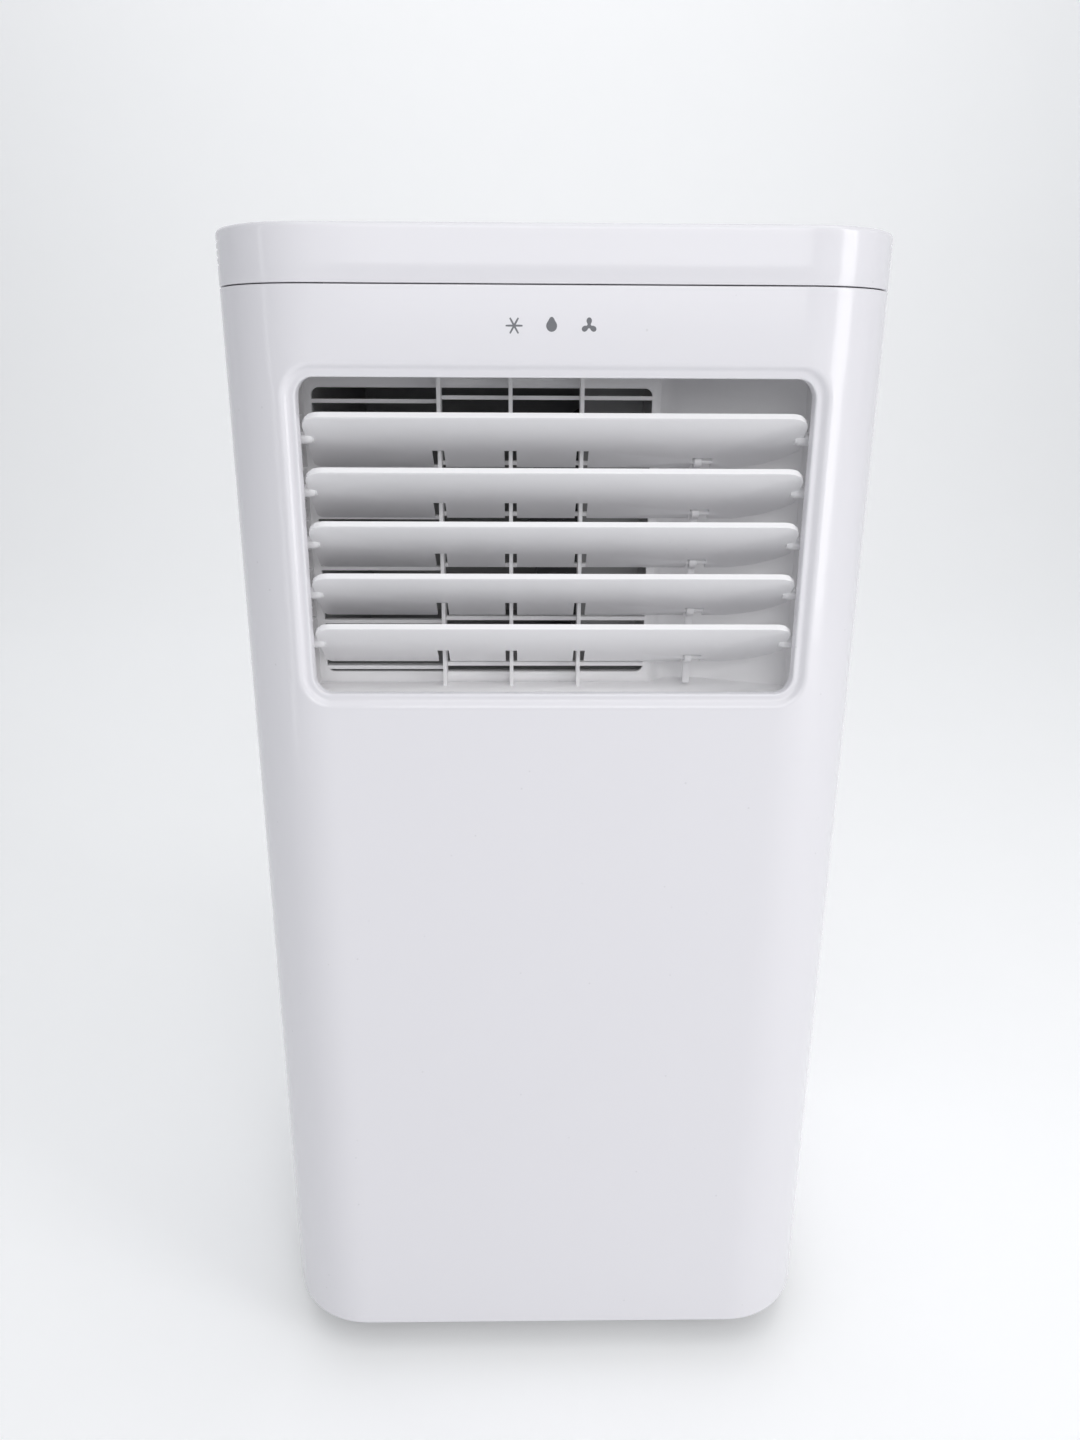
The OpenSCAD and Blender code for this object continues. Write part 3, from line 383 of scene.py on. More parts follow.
def prism(name, outline, low, high, axis="z", radius=0.3 * MM, holes=()):
    """Flat piece of an outline between two levels of an axis, with rounded edges."""
    def place(u, v, depth):
        return {"z": (u, v, high - depth), "y": (u, low + depth, v),
                "x": (high - depth, u, v)}[axis]

    profile = arc_profile(radius, high - low)
    rim = loops(outline, profile, place, sign=-1)
    cuts = [loops(h, profile, place) for h in holes]
    last = profile[-1][1]
    return tidy(plate(name, rim, cuts, lambda u, v: place(u, v, 0),
                      lambda u, v: place(u, v, last)))


# ---- Materials: each is procedural, with its own mottling, grain and roughness ----

COAT_ROUGH = 0.12
MOTTLE_FROM, MOTTLE_TO = 0.3, 0.7
SPECK_SCALE, SPECK_CORE, SPECK_RIM, SPECK_SHADE = 60, 0.02, 0.045, 0.62
SMEAR_SCALE = 3.1
LEAST_ROUGH = 0.03
GRAIN_DEPTH = 0.1 * MM


def finish(name, colour, rough, metallic=0.0, mottle=0.04, patch=9.0, grain=900.0,
           bump=0.04, uneven=0.05, coat=0.0, specks=0.0):
    """Material with a mottled colour, uneven roughness, a fine grain and sparse specks."""
    mat = bpy.data.materials.new(name)
    mat.use_nodes = True
    tree = mat.node_tree
    shader = tree.nodes["Principled BSDF"]
    shader.inputs["Metallic"].default_value = metallic
    shader.inputs["Coat Weight"].default_value = coat
    shader.inputs["Coat Roughness"].default_value = COAT_ROUGH
    place = tree.nodes.new("ShaderNodeTexCoord")

    def noise(scale, detail):
        node = tree.nodes.new("ShaderNodeTexNoise")
        node.inputs["Scale"].default_value = scale
        node.inputs["Detail"].default_value = detail
        tree.links.new(place.outputs["Object"], node.inputs["Vector"])
        return node

    cloud = noise(patch, 4)
    ramp = tree.nodes.new("ShaderNodeValToRGB")
    darker, lighter = ramp.color_ramp.elements
    darker.position, lighter.position = MOTTLE_FROM, MOTTLE_TO
    darker.color = [c * (1 - mottle) for c in colour] + [1]
    lighter.color = [min(1, c * (1 + mottle)) for c in colour] + [1]
    tree.links.new(cloud.outputs["Fac"], ramp.inputs["Fac"])
    paint = ramp.outputs["Color"]
    if specks:
        cells = tree.nodes.new("ShaderNodeTexVoronoi")
        cells.inputs["Scale"].default_value = SPECK_SCALE
        tree.links.new(place.outputs["Object"], cells.inputs["Vector"])
        dots = tree.nodes.new("ShaderNodeMapRange")
        dots.inputs["From Min"].default_value = SPECK_CORE
        dots.inputs["From Max"].default_value = SPECK_RIM
        dots.inputs["To Min"].default_value = specks
        dots.inputs["To Max"].default_value = 0.0
        tree.links.new(cells.outputs["Distance"], dots.inputs["Value"])
        mix = tree.nodes.new("ShaderNodeMix")
        mix.data_type = "RGBA"
        mix.inputs["B"].default_value = [c * SPECK_SHADE for c in colour] + [1]
        tree.links.new(dots.outputs["Result"], mix.inputs["Factor"])
        tree.links.new(paint, mix.inputs["A"])
        paint = mix.outputs["Result"]
    tree.links.new(paint, shader.inputs["Base Color"])

    smear = noise(patch * SMEAR_SCALE, 5)
    level = tree.nodes.new("ShaderNodeMapRange")
    level.inputs["To Min"].default_value = max(LEAST_ROUGH, rough - uneven)
    level.inputs["To Max"].default_value = min(1.0, rough + uneven)
    tree.links.new(smear.outputs["Fac"], level.inputs["Value"])
    tree.links.new(level.outputs["Result"], shader.inputs["Roughness"])

    fine = noise(grain, 3)
    relief = tree.nodes.new("ShaderNodeBump")
    relief.inputs["Strength"].default_value = bump
    relief.inputs["Distance"].default_value = GRAIN_DEPTH
    tree.links.new(fine.outputs["Fac"], relief.inputs["Height"])
    tree.links.new(relief.outputs["Normal"], shader.inputs["Normal"])
    return mat


finishes = {name: finish(name, *look[:2], **look[2]) for name, look in {
    "shell_white": ((0.76, 0.752, 0.785), 0.15, dict(mottle=0.006, patch=3, grain=1400,
        bump=0.015, uneven=0.02, coat=0.1, specks=0.3)),
    # Lighter than the shell's white: painted light for the louvres and bearings, which sit in the
    # shaded recess
    "louvre_white": ((0.86, 0.855, 0.87), 0.3, dict(mottle=0.01, grain=1400, bump=0.03,
        uneven=0.03, specks=0.2)),
    # Painted light: a lighter copy of the white for the recess's liner and grille, which render
    # dark in its shade
    "recess_painted_light": ((0.94, 0.935, 0.945), 0.38, dict(mottle=0.012, grain=1200, bump=0.04,
        specks=0.25)),
    "inner_plastic": ((0.34, 0.34, 0.345), 0.5, dict(mottle=0.06, bump=0.1)),
    "panel_grey": ((0.50, 0.51, 0.53), 0.34, dict(mottle=0.02, grain=1600, bump=0.12)),
    "button_grey": ((0.63, 0.64, 0.66), 0.38, dict(mottle=0.02, grain=1800, bump=0.1)),
    "display_black": ((0.008, 0.009, 0.011), 0.08, dict(mottle=0.2, coat=0.6, bump=0.01,
        uneven=0.03)),
    "mark_grey": ((0.16, 0.165, 0.18), 0.42, dict(mottle=0.08, grain=2500, bump=0.1)),
    "fan_black": ((0.02, 0.021, 0.023), 0.42, dict(mottle=0.15, bump=0.08)),
    "motor_steel": ((0.45, 0.46, 0.47), 0.35, dict(metallic=0.95, mottle=0.08)),
    "coil_metal": ((0.66, 0.68, 0.70), 0.36, dict(metallic=0.9, mottle=0.08, grain=500,
        bump=0.2)),
    "copper": ((0.72, 0.36, 0.20), 0.3, dict(metallic=0.95, mottle=0.12, patch=25)),
    "compressor_black": ((0.018, 0.018, 0.02), 0.32, dict(mottle=0.12, coat=0.3)),
    "rubber_dark": ((0.03, 0.03, 0.031), 0.72, dict(mottle=0.12, bump=0.2)),
    "box_steel": ((0.56, 0.57, 0.58), 0.38, dict(metallic=0.9, mottle=0.07, patch=40)),
    "board_green": ((0.03, 0.16, 0.07), 0.4, dict(mottle=0.2, patch=60)),
    "tube_clear": ((0.70, 0.72, 0.70), 0.2, dict(mottle=0.03)),
    "mesh_dark": ((0.07, 0.07, 0.075), 0.6, dict(mottle=0.12, bump=0.2)),
    "screw_steel": ((0.50, 0.50, 0.51), 0.28, dict(metallic=1.0, mottle=0.06)),
    "caster_grey": ((0.055, 0.056, 0.06), 0.4, dict(mottle=0.1, bump=0.1)),
    "tyre_black": ((0.022, 0.022, 0.023), 0.6, dict(mottle=0.12, bump=0.15)),
}.items()}


def paint(obj, slot):
    """Gives an object one finish and no other material."""
    obj.data.materials.clear()
    obj.data.materials.append(finishes[slot])


def piece(obj, body, slot, *replaced):
    """Finishes an object, lets it ride on a body and hides the CAD nodes it stands for."""
    paint(obj, slot)
    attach(obj, body)
    if replaced:
        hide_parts(*replaced)


# ---- The housing's plan outline ----

FRONT_FLAT = HALF_W - FRONT_R
FRONT_LENGTH = FRONT_FLAT + FRONT_R * math.pi / 2 + Y_SPLIT - Y_FRONT - FRONT_R
REAR_FLAT = HALF_W - REAR_R
REAR_LENGTH = REAR_FLAT + REAR_R * math.pi / 2 + Y_REAR - REAR_R - (Y_SPLIT + SEAM)
CORNER_FLAT = 1.5 * MM
SHELL_EDGE = 0.6 * MM


def around(u, inset, flat, radius, y_end, outward):
    """Point on the plan at arc length u from the middle of the front (outward -1) or the
    rear (+1)."""
    s = 1 if u >= 0 else -1
    u = abs(u)
    if u <= flat:
        return (s * u, y_end - outward * inset)
    a = min((u - flat) / radius, math.pi / 2)
    run = max(0.0, u - flat - radius * math.pi / 2)
    r = radius - inset
    return (s * (flat + r * math.sin(a)), y_end - outward * (radius - r * math.cos(a) + run))


def front_place(u, v, depth):
    x, y = around(u, depth, FRONT_FLAT, FRONT_R, Y_FRONT, -1)
    return (x, y, v)


def rear_place(u, v, depth):
    x, y = around(u, depth, REAR_FLAT, REAR_R, Y_REAR, 1)
    return (x, y, v)


def columns(flat, radius, length, step=20 * MM, turn=18):
    """Arc lengths of the lattice columns: even on the flats, close together round the corners."""
    half = [flat - CORNER_FLAT] + [flat + radius * math.pi / 2 * i / turn for i in range(turn + 1)]
    half += [half[-1] + CORNER_FLAT]
    n = max(1, round((length - half[-1]) / step))
    half += [half[-1] + (length - half[-1]) * i / n for i in range(1, n + 1)]
    n = max(1, round((flat - CORNER_FLAT) / step))
    half = [(flat - CORNER_FLAT) * i / n for i in range(1, n)] + half
    return [-u for u in reversed(half)] + [0.0] + half


def rows(low, high, step=20 * MM):
    """Heights of the lattice rows, evenly spaced."""
    n = max(1, round((high - low) / step))
    return [low + (high - low) * i / n for i in range(n + 1)]


def strip(us, vs):
    """Outline of the rectangle that the columns and rows span, as a function of outward offset."""
    def outline(offset=0.0):
        u = [us[0] - offset] + us[1:-1] + [us[-1] + offset]
        v = [vs[0] - offset] + vs[1:-1] + [vs[-1] + offset]
        return ([(a, v[0]) for a in u] + [(u[-1], b) for b in v[1:]]
                + [(a, v[-1]) for a in reversed(u[:-1])] + [(u[0], b) for b in reversed(v[1:-1])])
    return outline


def edge(radius, depth, flat=0.5 * MM, steps=3):
    """arc_profile with a narrow flat ring before the front corner, which keeps its shading flat."""
    return [(radius + flat, 0.0)] + arc_profile(radius, depth, steps)


# ---- Front panel, with its rolled outlet edge ----

ROLL_W = 7.5 * MM
ROLL_FLAT = 1.2 * MM
ROLL_BACK = 7.9 * MM
ROLL_FLANGE = 3 * MM
MARK_GAP = 0.02 * MM
# Outward offset and depth, in millimetres, from the panel's face to the recess
roll = [(ROLL_W + ROLL_FLAT, 0)] + [(o * MM, d * MM) for o, d in [
    (7.5, 0), (6.8, 0.06), (6.1, 0.28), (5.4, 0.75), (4.8, 1.4), (4.25, 2.1), (3.7, 2.65),
    (3.1, 2.95), (2.4, 3.05), (1.6, 3.1), (0.95, 3.1), (0.5, 3.22), (0.15, 3.5), (0, 3.95),
    (0, 6)]]
roll += [(0, ROLL_BACK), (ROLL_W + ROLL_FLANGE, ROLL_BACK), (ROLL_W + ROLL_FLANGE, WALL)]
mark_low, mark_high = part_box("front_mark")
MARK_R = (mark_high.z - mark_low.z) / 2
MARK_X = (mark_low.x + mark_high.x) / 2
MARK_Z = (mark_low.z + mark_high.z) / 2
MARK_T = mark_high.y - mark_low.y
MARK_STEP = (mark_high.x - mark_low.x - 2 * MARK_R) / 2


def symbol(cx, cz, reach, steps=72):
    """Outline of a mark from its polar reach, as a function of outward offset."""
    def outline(offset=0.0):
        polar = [(reach(a) + offset, a) for a in (2 * math.pi * i / steps for i in range(steps))]
        return [(cx + r * math.cos(a), cz + r * math.sin(a)) for r, a in polar]
    return outline


def star(angle):
    """Reach of a six-armed star with narrow arms."""
    arm, least = 0.11, 0.02
    off = abs((angle + math.pi / 6) % (math.pi / 3) - math.pi / 6)
    return min(MARK_R, arm * MARK_R / max(math.sin(off), least))


def drop(angle):
    """Reach of a drop: round below and pointed above."""
    body, tip, sides, sharp = 0.66, 0.34, 0.02, 10
    top = max(0.0, math.sin(angle))
    return MARK_R * (body + tip * top ** sharp - sides * math.cos(angle) ** 2)


def rotor(angle):
    """Reach of three round blades about a hub."""
    hub, vane, narrow, blunt = 0.26, 0.70, 2.3, 0.6
    off = abs((angle - math.pi / 2 + math.pi / 3) % (2 * math.pi / 3) - math.pi / 3) * narrow
    return MARK_R * (hub + vane * max(0.0, math.cos(off)) ** blunt if off < math.pi / 2 else hub)


symbols = [symbol(MARK_X + (i - 1) * MARK_STEP, MARK_Z, reach)
           for i, reach in enumerate([star, drop, rotor])]
us, vs = columns(FRONT_FLAT, FRONT_R, FRONT_LENGTH), rows(Z0, SHELL_TOP)
outlet = round_rect(0, (OUT_Z0 + OUT_Z1) / 2, 2 * OUT_X, OUT_Z1 - OUT_Z0, OUT_R, steps=12,
                    run=14)
front = plate("front_panel_skin", loops(strip(us, vs), edge(SHELL_EDGE, WALL), front_place, -1),
              [loops(outlet, roll, front_place)]
              + [loops(m, [(MARK_GAP, 0), (MARK_GAP, WALL)], front_place) for m in symbols],
              lambda u, v: front_place(u, v, 0), lambda u, v: front_place(u, v, WALL),
              lattice=[(u, v) for u in us[1:-1] for v in vs[1:-1]])
tidy(front)
piece(front, "housing", "shell_white", "front_panel")


def mark_place(u, v, depth):
    return (u, Y_FRONT + depth, v)


marks = [plate("mark", loops(m, [(0, 0), (0, MARK_T)], mark_place), [],
               lambda u, v: mark_place(u, v, 0), lambda u, v: mark_place(u, v, MARK_T))
         for m in symbols]
mark = tidy(join(*marks), merge=0)
mark.name = "front_mark_inlay"
piece(mark, "housing", "mark_grey", "front_mark")

# ---- Rear shell, with its intake slots ----

HOLE_EDGE, SLOT_EDGE, PLUG_EDGE, HOLE_FLAT = 0.8 * MM, 0.5 * MM, 0.4 * MM, 0.3 * MM
FILTER_GAP = 0.6 * MM
FILTER_HOLE_R = 2 * MM
COLLAR_HOLE_W, COLLAR_HOLE_R = 147 * MM, 73.4 * MM
PLUG_HOLES = {"drain_plug_upper": 8 * MM, "drain_plug_lower": 8 * MM, "cord_grommet": 7 * MM}
SLOT_COLS, SLOT_ROWS = 4, 14
SLOT_W, SLOT_H, SLOT_R, SLOT_BAR, SLOT_PITCH = 59.5 * MM, 5 * MM, 1.2 * MM, 6 * MM, 11 * MM
SLOT_Z = Z0 + 56 * MM
filter_hole = round_rect((filter_low.x + filter_high.x) / 2, (filter_low.z + filter_high.z) / 2,
                         filter_high.x - filter_low.x + FILTER_GAP,
                         filter_high.z - filter_low.z + FILTER_GAP,
                         FILTER_HOLE_R, steps=4, run=8)
collar_mid = (collar_low + collar_high) / 2
collar_hole = round_rect(collar_mid.x, collar_mid.z, COLLAR_HOLE_W, COLLAR_HOLE_W, COLLAR_HOLE_R,
                         steps=20)
cuts = [(filter_hole, HOLE_EDGE), (collar_hole, HOLE_EDGE)]
for i in range(SLOT_ROWS):
    for j in range(SLOT_COLS):
        x = -(SLOT_COLS - 1) / 2 * (SLOT_W + SLOT_BAR) + j * (SLOT_W + SLOT_BAR)
        cuts.append((round_rect(x, SLOT_Z + i * SLOT_PITCH + SLOT_H / 2, SLOT_W, SLOT_H, SLOT_R,
                                steps=3, run=3), SLOT_EDGE))
for name, r in PLUG_HOLES.items():
    low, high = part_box(name)
    mid = (low + high) / 2
    cuts.append((round_rect(mid.x, mid.z, 2 * r, 2 * r, r - 0.01 * MM, steps=8), PLUG_EDGE))
us, vs = columns(REAR_FLAT, REAR_R, REAR_LENGTH), rows(Z0, SHELL_TOP)
rear = plate("rear_shell_skin", loops(strip(us, vs), edge(SHELL_EDGE, WALL), rear_place, -1),
             [loops(h, edge(r, WALL, HOLE_FLAT), rear_place) for h, r in cuts],
             lambda u, v: rear_place(u, v, 0), lambda u, v: rear_place(u, v, WALL),
             lattice=[(u, v) for u in us[1:-1] for v in vs[1:-1]])
tidy(rear)
piece(rear, "housing", "shell_white", "rear_shell")

# ---- Top cover, with its control well, hand grips and side grooves ----

TOP_R = 2.6 * MM
TOP_T = 3 * MM
WELL_R = 0.9 * MM
WELL_D = 13 * MM
GROOVE_D = 0.9 * MM
GROOVE_T = 1.4 * MM
GROOVE_DOWN, GROOVE_PITCH = 6.3 * MM, 3.45 * MM
GROOVES = [Z_TOP - GROOVE_DOWN - i * GROOVE_PITCH + GROOVE_T / 2 for i in range(4)]
GROOVE_Y0, GROOVE_Y1 = Y_FRONT + 31 * MM, -50 * MM
GROOVE_RAMP = 5 * MM
PLAN_STEP = 4 * MM
LIP_DOWN = 0.45 * MM
WELL_CORNER = 3 * MM
WELL_GAP = 0.6 * MM
WELL_WALL, WELL_FLOOR = 3 * MM, 2 * MM
GRIP_Y, GRIP_Z = 8 * MM, 671.1 * MM
GRIP_W, GRIP_H, GRIP_CORNER = 104 * MM, 15 * MM, 5 * MM
GRIP_IN, GRIP_OUT = 12 * MM, 6 * MM


def plan_loop():
    """Closed plan outline as (x, y, outward normal) triples."""
    corners = [(1, -1, FRONT_R, Y_FRONT), (1, 1, REAR_R, Y_REAR), (-1, 1, REAR_R, Y_REAR),
               (-1, -1, FRONT_R, Y_FRONT)]
    steps, result = 20, []
    for i, (sx, sy, r, y) in enumerate(corners):
        cx, cy = sx * (HALF_W - r), y - sy * r
        start = (i - 1) * math.pi / 2
        arc = []
        for k in range(steps + 1):
            a = start + k * math.pi / 2 / steps
            n = (math.cos(a), math.sin(a))
            arc.append((cx + r * n[0], cy + r * n[1], n))
        if result:
            result += between(result[-1], arc[0])
        result += arc
    return result + between(result[-1], result[0])


def between(a, b):
    """Plan points inside the straight side from a to b, with the normal of a."""
    n = max(1, round(math.dist(a[:2], b[:2]) / PLAN_STEP))
    return [(a[0] + (b[0] - a[0]) * i / n, a[1] + (b[1] - a[1]) * i / n, a[2])
            for i in range(1, n)]


outline_points = plan_loop()


def groove_share(y):
    """How deep a groove is at a place along the side: full between its ends, with short ramps."""
    return max(0.0, min(1.0, (y - GROOVE_Y0) / GROOVE_RAMP, (GROOVE_Y1 - y) / GROOVE_RAMP))


def cover_ring(inset, z, groove=0.0):
    """Plan outline at a height, set inwards, and further inwards along the grooves."""
    ring = []
    for x, y, n in outline_points:
        d = inset + groove * groove_share(y)
        ring.append((x - n[0] * d, y - n[1] * d, z))
    return ring


# Inset, height and groove depth of each ring, from the lower edge up to the flat top
LIP_Z = Z_SEAM - LIP_DOWN
outer = [(WALL, LIP_Z, 0), (0.5 * MM, LIP_Z, 0), (0.15 * MM, LIP_Z + 0.15 * MM, 0),
         (0, LIP_Z + 0.5 * MM, 0)]
for z in reversed(GROOVES):
    h = GROOVE_T / 2
    outer += [(0, z - h - 0.25 * MM, 0), (0, z - h, 0.12), (0, z - h + 0.3 * MM, 0.8), (0, z, 1.0),
              (0, z + h - 0.3 * MM, 0.8), (0, z + h, 0.12), (0, z + h + 0.25 * MM, 0)]
outer = [(i, z, g * GROOVE_D) for i, z, g in outer]
for k in range(7):
    a = k * math.pi / 12
    outer.append((TOP_R * (1 - math.cos(a)), Z_TOP - TOP_R * (1 - math.sin(a)), 0))
outer.append((TOP_R + 0.6 * MM, Z_TOP, 0))
verts, faces = [], []


def add_ring(points):
    """Adds points to the cover and returns their indices."""
    verts.extend(points)
    return list(range(len(verts) - len(points), len(verts)))


def bridge(a, b):
    """Joins two rings of equal length with quads."""
    n = len(a)
    faces.extend([a[i], a[(i + 1) % n], b[(i + 1) % n], b[i]] for i in range(n))


def cap(rim, holes=()):
    """Fills a flat ring, around any holes in it."""
    order = list(rim) + [i for h in holes for i in h]
    uv = [verts[i][:2] for i in order]
    uv_rim, uv_holes, at = uv[:len(rim)], [], len(rim)
    for h in holes:
        uv_holes.append(uv[at:at + len(h)])
        at += len(h)
    faces.extend([order[i] for i in face] for face in fill(uv_rim, uv_holes, []))


rings = [add_ring(cover_ring(*o)) for o in outer]
for a, b in zip(rings, rings[1:]):
    bridge(a, b)
well = round_rect((fascia_low.x + fascia_high.x) / 2, (fascia_low.y + fascia_high.y) / 2,
                  fascia_high.x - fascia_low.x + WELL_GAP, fascia_high.y - fascia_low.y + WELL_GAP,
                  WELL_CORNER, steps=6, run=6)
well_rings = [add_ring([(u, v, Z_TOP - d) for u, v in well(o)])
              for o, d in [(WELL_R + 0.5 * MM, 0), (WELL_R, 0), (0.3 * WELL_R, 0.3 * WELL_R),
                           (0, WELL_R), (0, WELL_D)]]
for a, b in zip(well_rings, well_rings[1:]):
    bridge(a, b)
cap(rings[-1], [well_rings[0]])
cap(well_rings[-1])
under = add_ring(cover_ring(WALL, Z_TOP - TOP_T))
bridge(rings[0], under)
well_under = [add_ring([(u, v, Z_TOP - d) for u, v in well(WELL_WALL)])
              for d in (TOP_T, WELL_D + WELL_FLOOR)]
bridge(well_under[0], well_under[1])
cap(under, [well_under[0]])
cap(well_under[1])
cover = tidy(new_object("top_cover_skin", verts, faces))
grip_outline = round_rect(GRIP_Y, GRIP_Z, GRIP_W, GRIP_H, GRIP_CORNER, steps=6)
for low, high in [(HALF_W - GRIP_IN, HALF_W + GRIP_OUT), (-HALF_W - GRIP_OUT, -HALF_W + GRIP_IN)]:
    hole = prism("grip_cutter", grip_outline, low, high, axis="x", radius=0.1 * MM)
    boolean(cover, hole, "DIFFERENCE")
sharpen(cover)
piece(cover, "housing", "shell_white", "top_cover")

# ---- Filter cassette: a rim with a grid of rounded bars over the rear ----

FILTER_WALL = 8 * MM - FILTER_GAP / 2
FILTER_BAR = 3 * MM
FILTER_ROWS, FILTER_COLS = 11, 4
FILTER_GRID_T = 4 * MM
FILTER_STEP = 0.2 * MM
FILTER_OVERLAP = 0.8 * MM
mid, size = (filter_low + filter_high) / 2, filter_high - filter_low
rim_outline = round_rect(mid.x, mid.z, size.x, size.z, 1.7 * MM, steps=4)
inner_w, inner_h = size.x - 2 * FILTER_WALL, size.z - 2 * FILTER_WALL
cell_w, cell_h = inner_w / FILTER_COLS, inner_h / FILTER_ROWS
cells = []
for i in range(FILTER_ROWS):
    for j in range(FILTER_COLS):
        cells.append(round_rect(mid.x - inner_w / 2 + (j + 0.5) * cell_w,
                                mid.z - inner_h / 2 + i * cell_h + FILTER_BAR
                                + (cell_h - FILTER_BAR) / 2,
                                cell_w - FILTER_BAR, cell_h - FILTER_BAR, 1.2 * MM, steps=3))
grid = prism("filter_grid", rim_outline, filter_high.y - FILTER_GRID_T, filter_high.y, axis="y",
             radius=0.6 * MM, holes=cells)
rim_inner = round_rect(mid.x, mid.z, inner_w, inner_h, 1 * MM, steps=3)
skirt_outline = round_rect(mid.x, mid.z, size.x - FILTER_STEP, size.z - FILTER_STEP, 1.6 * MM,
                           steps=4)
skirt = prism("filter_rim", skirt_outline, filter_low.y,
              filter_high.y - FILTER_GRID_T + FILTER_OVERLAP, axis="y", radius=0.4 * MM,
              holes=[rim_inner])
boolean(grid, skirt, "UNION")
smooth(grid)
piece(grid, "filter_cassette", "shell_white", "filter_frame")

# ---- Control panel: a glossy fascia with a key opening for each button and the display ----

BUTTONS = [f"button_{key}" for key in ("power", "mode", "speed", "timer", "down", "up")]
SKIRT = 1.5 * MM
SKIRT_H = 1.6 * MM
KEY_R = 3 * MM
KEY_GAP = 0.4 * MM
FASCIA_T = 2.5 * MM
FASCIA_CORNER = 2.6 * MM
DISPLAY_GAP = 0.2 * MM
key_holes = []
for name in BUTTONS:
    low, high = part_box(name)
    mid, size = (low + high) / 2, high - low
    key_holes.append(round_rect(mid.x, mid.y, size.x - 2 * SKIRT + 2 * KEY_GAP,
                                size.y - 2 * SKIRT + 2 * KEY_GAP, KEY_R + KEY_GAP, steps=5))
mid, size = (display_low + display_high) / 2, display_high - display_low
key_holes.append(round_rect(mid.x, mid.y, size.x + DISPLAY_GAP, size.y + DISPLAY_GAP, 0.4 * MM,
                            steps=2))
mid, size = (fascia_low + fascia_high) / 2, fascia_high - fascia_low
fascia = prism("control_fascia", round_rect(mid.x, mid.y, size.x, size.y, FASCIA_CORNER, steps=6),
               fascia_high.z - FASCIA_T, fascia_high.z, axis="z", radius=0.3 * MM, holes=key_holes)
piece(fascia, "housing", "panel_grey", "control_panel")


# Inset and drop of the key's rim and dish, in millimetres
KEY_RINGS = [(0, 0.6), (0.18, 0.18), (0.6, 0), (1.4, 0.02), (2.4, 0.16), (3.6, 0.26), (4.6, 0.3)]


def key_cap(name, low, high):
    """Key cap with a rounded rim and a shallow dish in its top."""
    mid, size = (low + high) / 2, high - low
    outline = round_rect(mid.x, mid.y, size.x - 2 * SKIRT, size.y - 2 * SKIRT, KEY_R, steps=6)
    flange = round_rect(mid.x, mid.y, size.x, size.y, KEY_R, steps=6)
    levels = [(flange, 0, low.z), (flange, 0, low.z + SKIRT_H), (outline, 0, low.z + SKIRT_H)]
    levels += [(outline, -inset * MM, high.z - drop * MM) for inset, drop in KEY_RINGS]
    verts, faces, last = [], [], None
    for shape, offset, z in levels:
        ring = shape(offset)
        n = len(ring)
        verts += [(x, y, z) for x, y in ring]
        if last is not None:
            faces += [[last + i, last + (i + 1) % n, last + n + (i + 1) % n, last + n + i]
                      for i in range(n)]
        last = len(verts) - n
    faces += [list(range(n)), list(range(last, last + n))]
    return tidy(new_object(name, verts, faces), merge=0)


for name in BUTTONS:
    low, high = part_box(name)
    piece(key_cap(name + "_cap", low, high), name, "button_grey", name)

# ---- Louvres: the CAD blades with rounded edges and their pivot knobs ----

KNOB_R = 3.2 * MM
KNOB_BITE = 3.2 * MM
KNOB_CHAMFER = 1.6 * MM
KNOB_GAP = 0.35 * MM
BLADE_EDGE = 0.55 * MM
for k in range(BLADES):
    name = f"louvre_{k + 1}"
    blade = new_object(name + "_blade", [], [])
    blade.data = nodes[name].data.copy()
    tidy(blade, merge=WELD_GAP)
    at = pivot(k)
    for side in (-1, 1):
        start, end = BLADE_X - KNOB_BITE, LINER_X - KNOB_GAP
        profile = rounded_profile([(0, start), (KNOB_R * 0.8, start),
                                   (KNOB_R, start + KNOB_CHAMFER), (KNOB_R, end), (0, end)],
                                  0.5 * MM)
        profile = [(max(r, 0.01 * MM), side * d) for r, d in profile]
        knob = lathe("knob", profile, (0, at.y, at.z), axis="x", steps=32)
        boolean(blade, knob, "UNION")
    bevel(blade, BLADE_EDGE, 3)
    smooth(blade)
    piece(blade, name, "louvre_white", name)

# Bearing rings on both walls of the recess, and the ledges about them on its left wall
BEARING_W, BEARING_R = 9 * MM, 4.4 * MM
BORE_W, BORE_R = 6.4 * MM, 3.19 * MM
BEARING_OUT, BEARING_IN = 1.1 * MM, 0.3 * MM
LEDGES = [(9.5, 14, 2.4), (15.5, 9, 1.8), (-6.5, 10, 2.0)]  # up from the pivot, length, width
LEDGE_BACK, LEDGE_T, LEDGE_CLEAR = 3 * MM, 1.3 * MM, 2 * MM
ledges = []
for k in range(BLADES):
    at = pivot(k)
    for up, deep, out in LEDGES:
        z = at.z + up * MM
        if FLOOR_Z + LEDGE_CLEAR < z < CEILING_Z - LEDGE_CLEAR:
            ledges.append(box_mesh("ledge", (-LINER_X - BEARING_IN, at.y - LEDGE_BACK, z),
                                   (-LINER_X + out * MM, at.y + deep * MM, z + LEDGE_T),
                                   0.35 * MM))
    ring = round_rect(at.y, at.z, BEARING_W, BEARING_W, BEARING_R, steps=8)
    bore = round_rect(at.y, at.z, BORE_W, BORE_W, BORE_R, steps=8)
    for side in (-1, 1):
        low, high = sorted([side * (LINER_X - BEARING_OUT), side * (LINER_X + BEARING_IN)])
        ledges.append(prism("bearing", ring, low, high, axis="x", radius=0.3 * MM, holes=[bore]))
bearings = join(*ledges)
bearings.name = "louvre_bearings"
tidy(bearings, merge=0)
piece(bearings, "housing", "louvre_white")

# ---- CAD nodes that stay: rounded edges and their own materials ----

